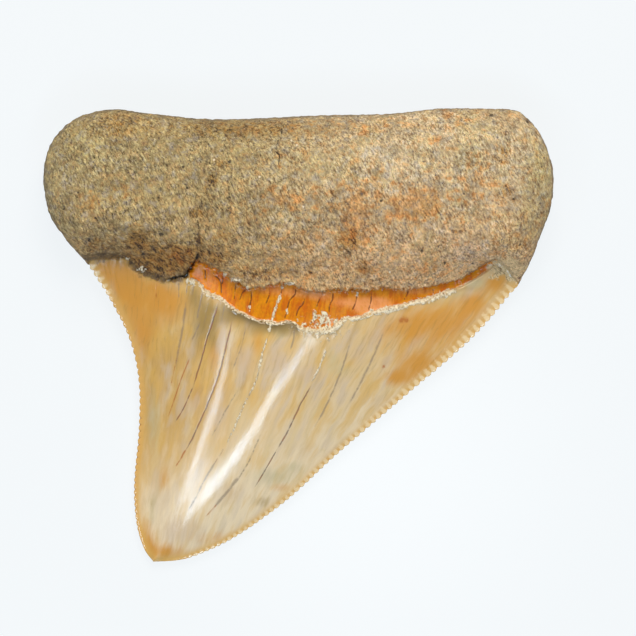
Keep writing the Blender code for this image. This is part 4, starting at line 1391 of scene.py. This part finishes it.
on_root = frayed("root", grit, 1.5, 0.4, 0.6)
on_bare = step(shifted(mark("bare"), fine, 0.4), 0.4, 0.6)
on_crust = lies("crust", fine, (0.48, 0.58), (0.28, 0.4))
on_filling = lies("filled", grit_two, (0.3, 0.5), (0.05, 0.25))
on_corner = step(shifted(mark("corner"), patch, 0.6), 0.5, 0.62)
over_bone = step(mark("root"), 0.0, 1.0, 1.0, 0.55)
skin = mixed(enamel, dentine, on_bare)
skin = mixed(skin, bone, on_root)
skin = mixed(skin, corner_tone, product(on_corner, over_bone))
skin = mixed(skin, sediment, largest(on_crust, on_filling))
# Painted shade: the deep crevice is drawn near-black inside.
skin = mixed(skin, CREVICE_PAINTED_SHADE, product(dotted(mark("crevice"), fine, 0.25, 0.75), 0.95))

matt = largest(on_root, largest(on_crust, on_filling))
gloss = step(thin_streak, 0.0, 1.0, *ENAMEL_ROUGHNESS)
gloss = add("Mix", {0: on_bare, 2: gloss, 3: DENTINE_ROUGHNESS})[0]
roughness = add("Mix", {0: matt, 2: gloss, 3: MATT_ROUGHNESS})[0]
relief = sum_of(product(grit, product(matt, GRIT_BUMP)), product(fine, product(matt, FINE_BUMP)))
relief = sum_of(relief, product(thin_streak, STREAK_BUMP))
bump = add("Bump", {"Height": relief, "Distance": MM, "Strength": BUMP_STRENGTH})["Normal"]
links.new(skin, shader.inputs["Base Color"])
links.new(roughness, shader.inputs["Roughness"])
links.new(bump, shader.inputs["Normal"])
shader.inputs["IOR"].default_value = MINERAL_IOR
mesh.materials.append(finish)

# ------------------------------------------------------------------------------------------------
# The table: a plain pale sheet of acrylic that the tooth lies on. It is lit from below, so that
# the tooth throws hardly any shadow on it, and it is a little brighter over its lamp.
# ------------------------------------------------------------------------------------------------
TABLE_HALF = 0.9
LAMP_PLACE = (0.008, -0.014, 0.0)
LAMP_REACH = 0.034
TABLE_GLOW = (0.882, 0.922)  # far from the lamp and over it
DAYLIGHT = colour(246, 250, 252)
ACRYLIC_GREY = colour(84, 85, 86)
ACRYLIC_ROUGHNESS = 0.9
table_mesh = bpy.data.meshes.new("light_table")
sides = [(-TABLE_HALF, -TABLE_HALF, 0), (TABLE_HALF, -TABLE_HALF, 0),
         (TABLE_HALF, TABLE_HALF, 0), (-TABLE_HALF, TABLE_HALF, 0)]
table_mesh.from_pydata(sides, [], [(0, 1, 2, 3)])
table = bpy.data.objects.new("light_table", table_mesh)
bpy.context.scene.collection.objects.link(table)
acrylic = bpy.data.materials.new("light_table")
acrylic.use_nodes = True
nodes, links = acrylic.node_tree.nodes, acrylic.node_tree.links
acrylic_shader = nodes["Principled BSDF"]
from_lamp = add("VectorMath", {0: add("TexCoord", {})["Object"], 1: LAMP_PLACE},
                operation="DISTANCE")["Value"]
links.new(step(from_lamp, 0.0, LAMP_REACH, *reversed(TABLE_GLOW)),
          acrylic_shader.inputs["Emission Strength"])
acrylic_shader.inputs["Emission Color"].default_value = DAYLIGHT
acrylic_shader.inputs["Base Color"].default_value = ACRYLIC_GREY
acrylic_shader.inputs["Roughness"].default_value = ACRYLIC_ROUGHNESS
acrylic_shader.inputs["Specular IOR Level"].default_value = 0.0
table_mesh.materials.append(acrylic)

# ------------------------------------------------------------------------------------------------
# The light: a dim pale room, a big soft box above the root, and a thin arc of boxes round the tip.
# The polished enamel mirrors the arc as a bright V along both sides of its ridge.
# ------------------------------------------------------------------------------------------------
ROOM_GLOW = 0.2
ARC_DISTANCE = 0.6
BOX_ABOVE_DISTANCE = 0.7
BOX_ABOVE_SPREAD = (105, 55)  # the azimuths of its two ends
BOX_ABOVE_ELEVATION = 48
BOX_ABOVE_HEIGHT = 0.4
BOX_ABOVE_GLOW = 6.4
COOL = (0.66, 0.84, 1.06)
WARM = (1.24, 1.12, 0.96)
ARC = [  # azimuth, elevation, height of the tube and its radiance
    (-171, 57.5, 0.03, 4.0), (-168, 55.5, 0.055, 8.5),
    (-164, 54.0, 0.065, 11.0), (-158, 51.8, 0.065, 11.0), (-152, 50.2, 0.06, 10.0),
    (-145, 51.5, 0.055, 9.5), (-137, 54.0, 0.05, 9.5), (-126, 55.5, 0.045, 9.0),
    (-112, 55.0, 0.05, 9.5), (-100, 53.3, 0.065, 11.5), (-92, 51.3, 0.085, 12.5),
    (-84, 50.2, 0.095, 12.5), (-76, 50.8, 0.09, 12.0), (-70, 53.5, 0.08, 11.5),
    (-63, 56.0, 0.065, 11.5), (-57, 58.5, 0.05, 11.5), (-50, 60.0, 0.045, 10.5),
    (-42, 60.0, 0.035, 9.0),
]

world = bpy.data.worlds.new("studio")
world.use_nodes = True
room = world.node_tree.nodes["Background"]
room.inputs["Color"].default_value = DAYLIGHT
room.inputs["Strength"].default_value = ROOM_GLOW
bpy.context.scene.world = world
bpy.context.scene.view_settings.view_transform = "Standard"


def toward(azimuth, elevation):
    """The direction of a light, its azimuth counted from +X towards +Y."""
    turn, rise = math.radians(azimuth), math.radians(elevation)
    return Vector((math.cos(turn) * math.cos(rise), math.sin(turn) * math.cos(rise), math.sin(rise)))


def soft_box(name, start, end, height, glow, tint):
    """A box of this radiance that faces the tooth, as wide as from the start to the end."""
    lamp = bpy.data.lights.new(name, "AREA")
    lamp.shape = "RECTANGLE"
    lamp.size, lamp.size_y = (end - start).length, height
    lamp.energy = glow * math.pi * lamp.size * lamp.size_y
    lamp.color = tint
    box = bpy.data.objects.new(name, lamp)
    box.location = (start + end) / 2
    sideways = (end - start).normalized()
    outward = (box.location - sideways * box.location.dot(sideways)).normalized()
    box.rotation_euler = Matrix((sideways, outward.cross(sideways), outward)).transposed().to_euler()
    bpy.context.scene.collection.objects.link(box)


for number, (first, second) in enumerate(zip(ARC, ARC[1:])):
    start, end = (toward(azimuth, elevation) * ARC_DISTANCE
                  for azimuth, elevation, _, _ in (first, second))
    height, glow = (first[2] + second[2]) / 2, (first[3] + second[3]) / 2
    soft_box(f"arc_{number}", start, end, height, glow, COOL)
start, end = (toward(azimuth, BOX_ABOVE_ELEVATION) * BOX_ABOVE_DISTANCE
              for azimuth in BOX_ABOVE_SPREAD)
soft_box("box_above", start, end, BOX_ABOVE_HEIGHT, BOX_ABOVE_GLOW, WARM)

# ------------------------------------------------------------------------------------------------
# The camera: a very long lens that looks straight down on the tooth, from so far above that the
# high root and the low tip are seen at the same scale.
# ------------------------------------------------------------------------------------------------
LENS = 400.0
SENSOR = 36.0
FRAME_WIDTH = 74.82  # drawn millimetres seen across the frame, at the mean height of the tooth
SEEN_AT = (2.294, 2.06, 3.0)  # the place in the middle of the frame
CLIP = (0.01, 10.0)  # nothing nearer and nothing further is seen, in metres
lens = bpy.data.cameras.new("camera")
lens.lens = LENS
lens.sensor_width = SENSOR
lens.clip_start, lens.clip_end = CLIP
camera = bpy.data.objects.new("camera", lens)
camera.location = Vector((SEEN_AT[0], SEEN_AT[1], SEEN_AT[2] + FRAME_WIDTH * LENS / SENSOR)) * MM
bpy.context.scene.collection.objects.link(camera)
bpy.context.scene.camera = camera
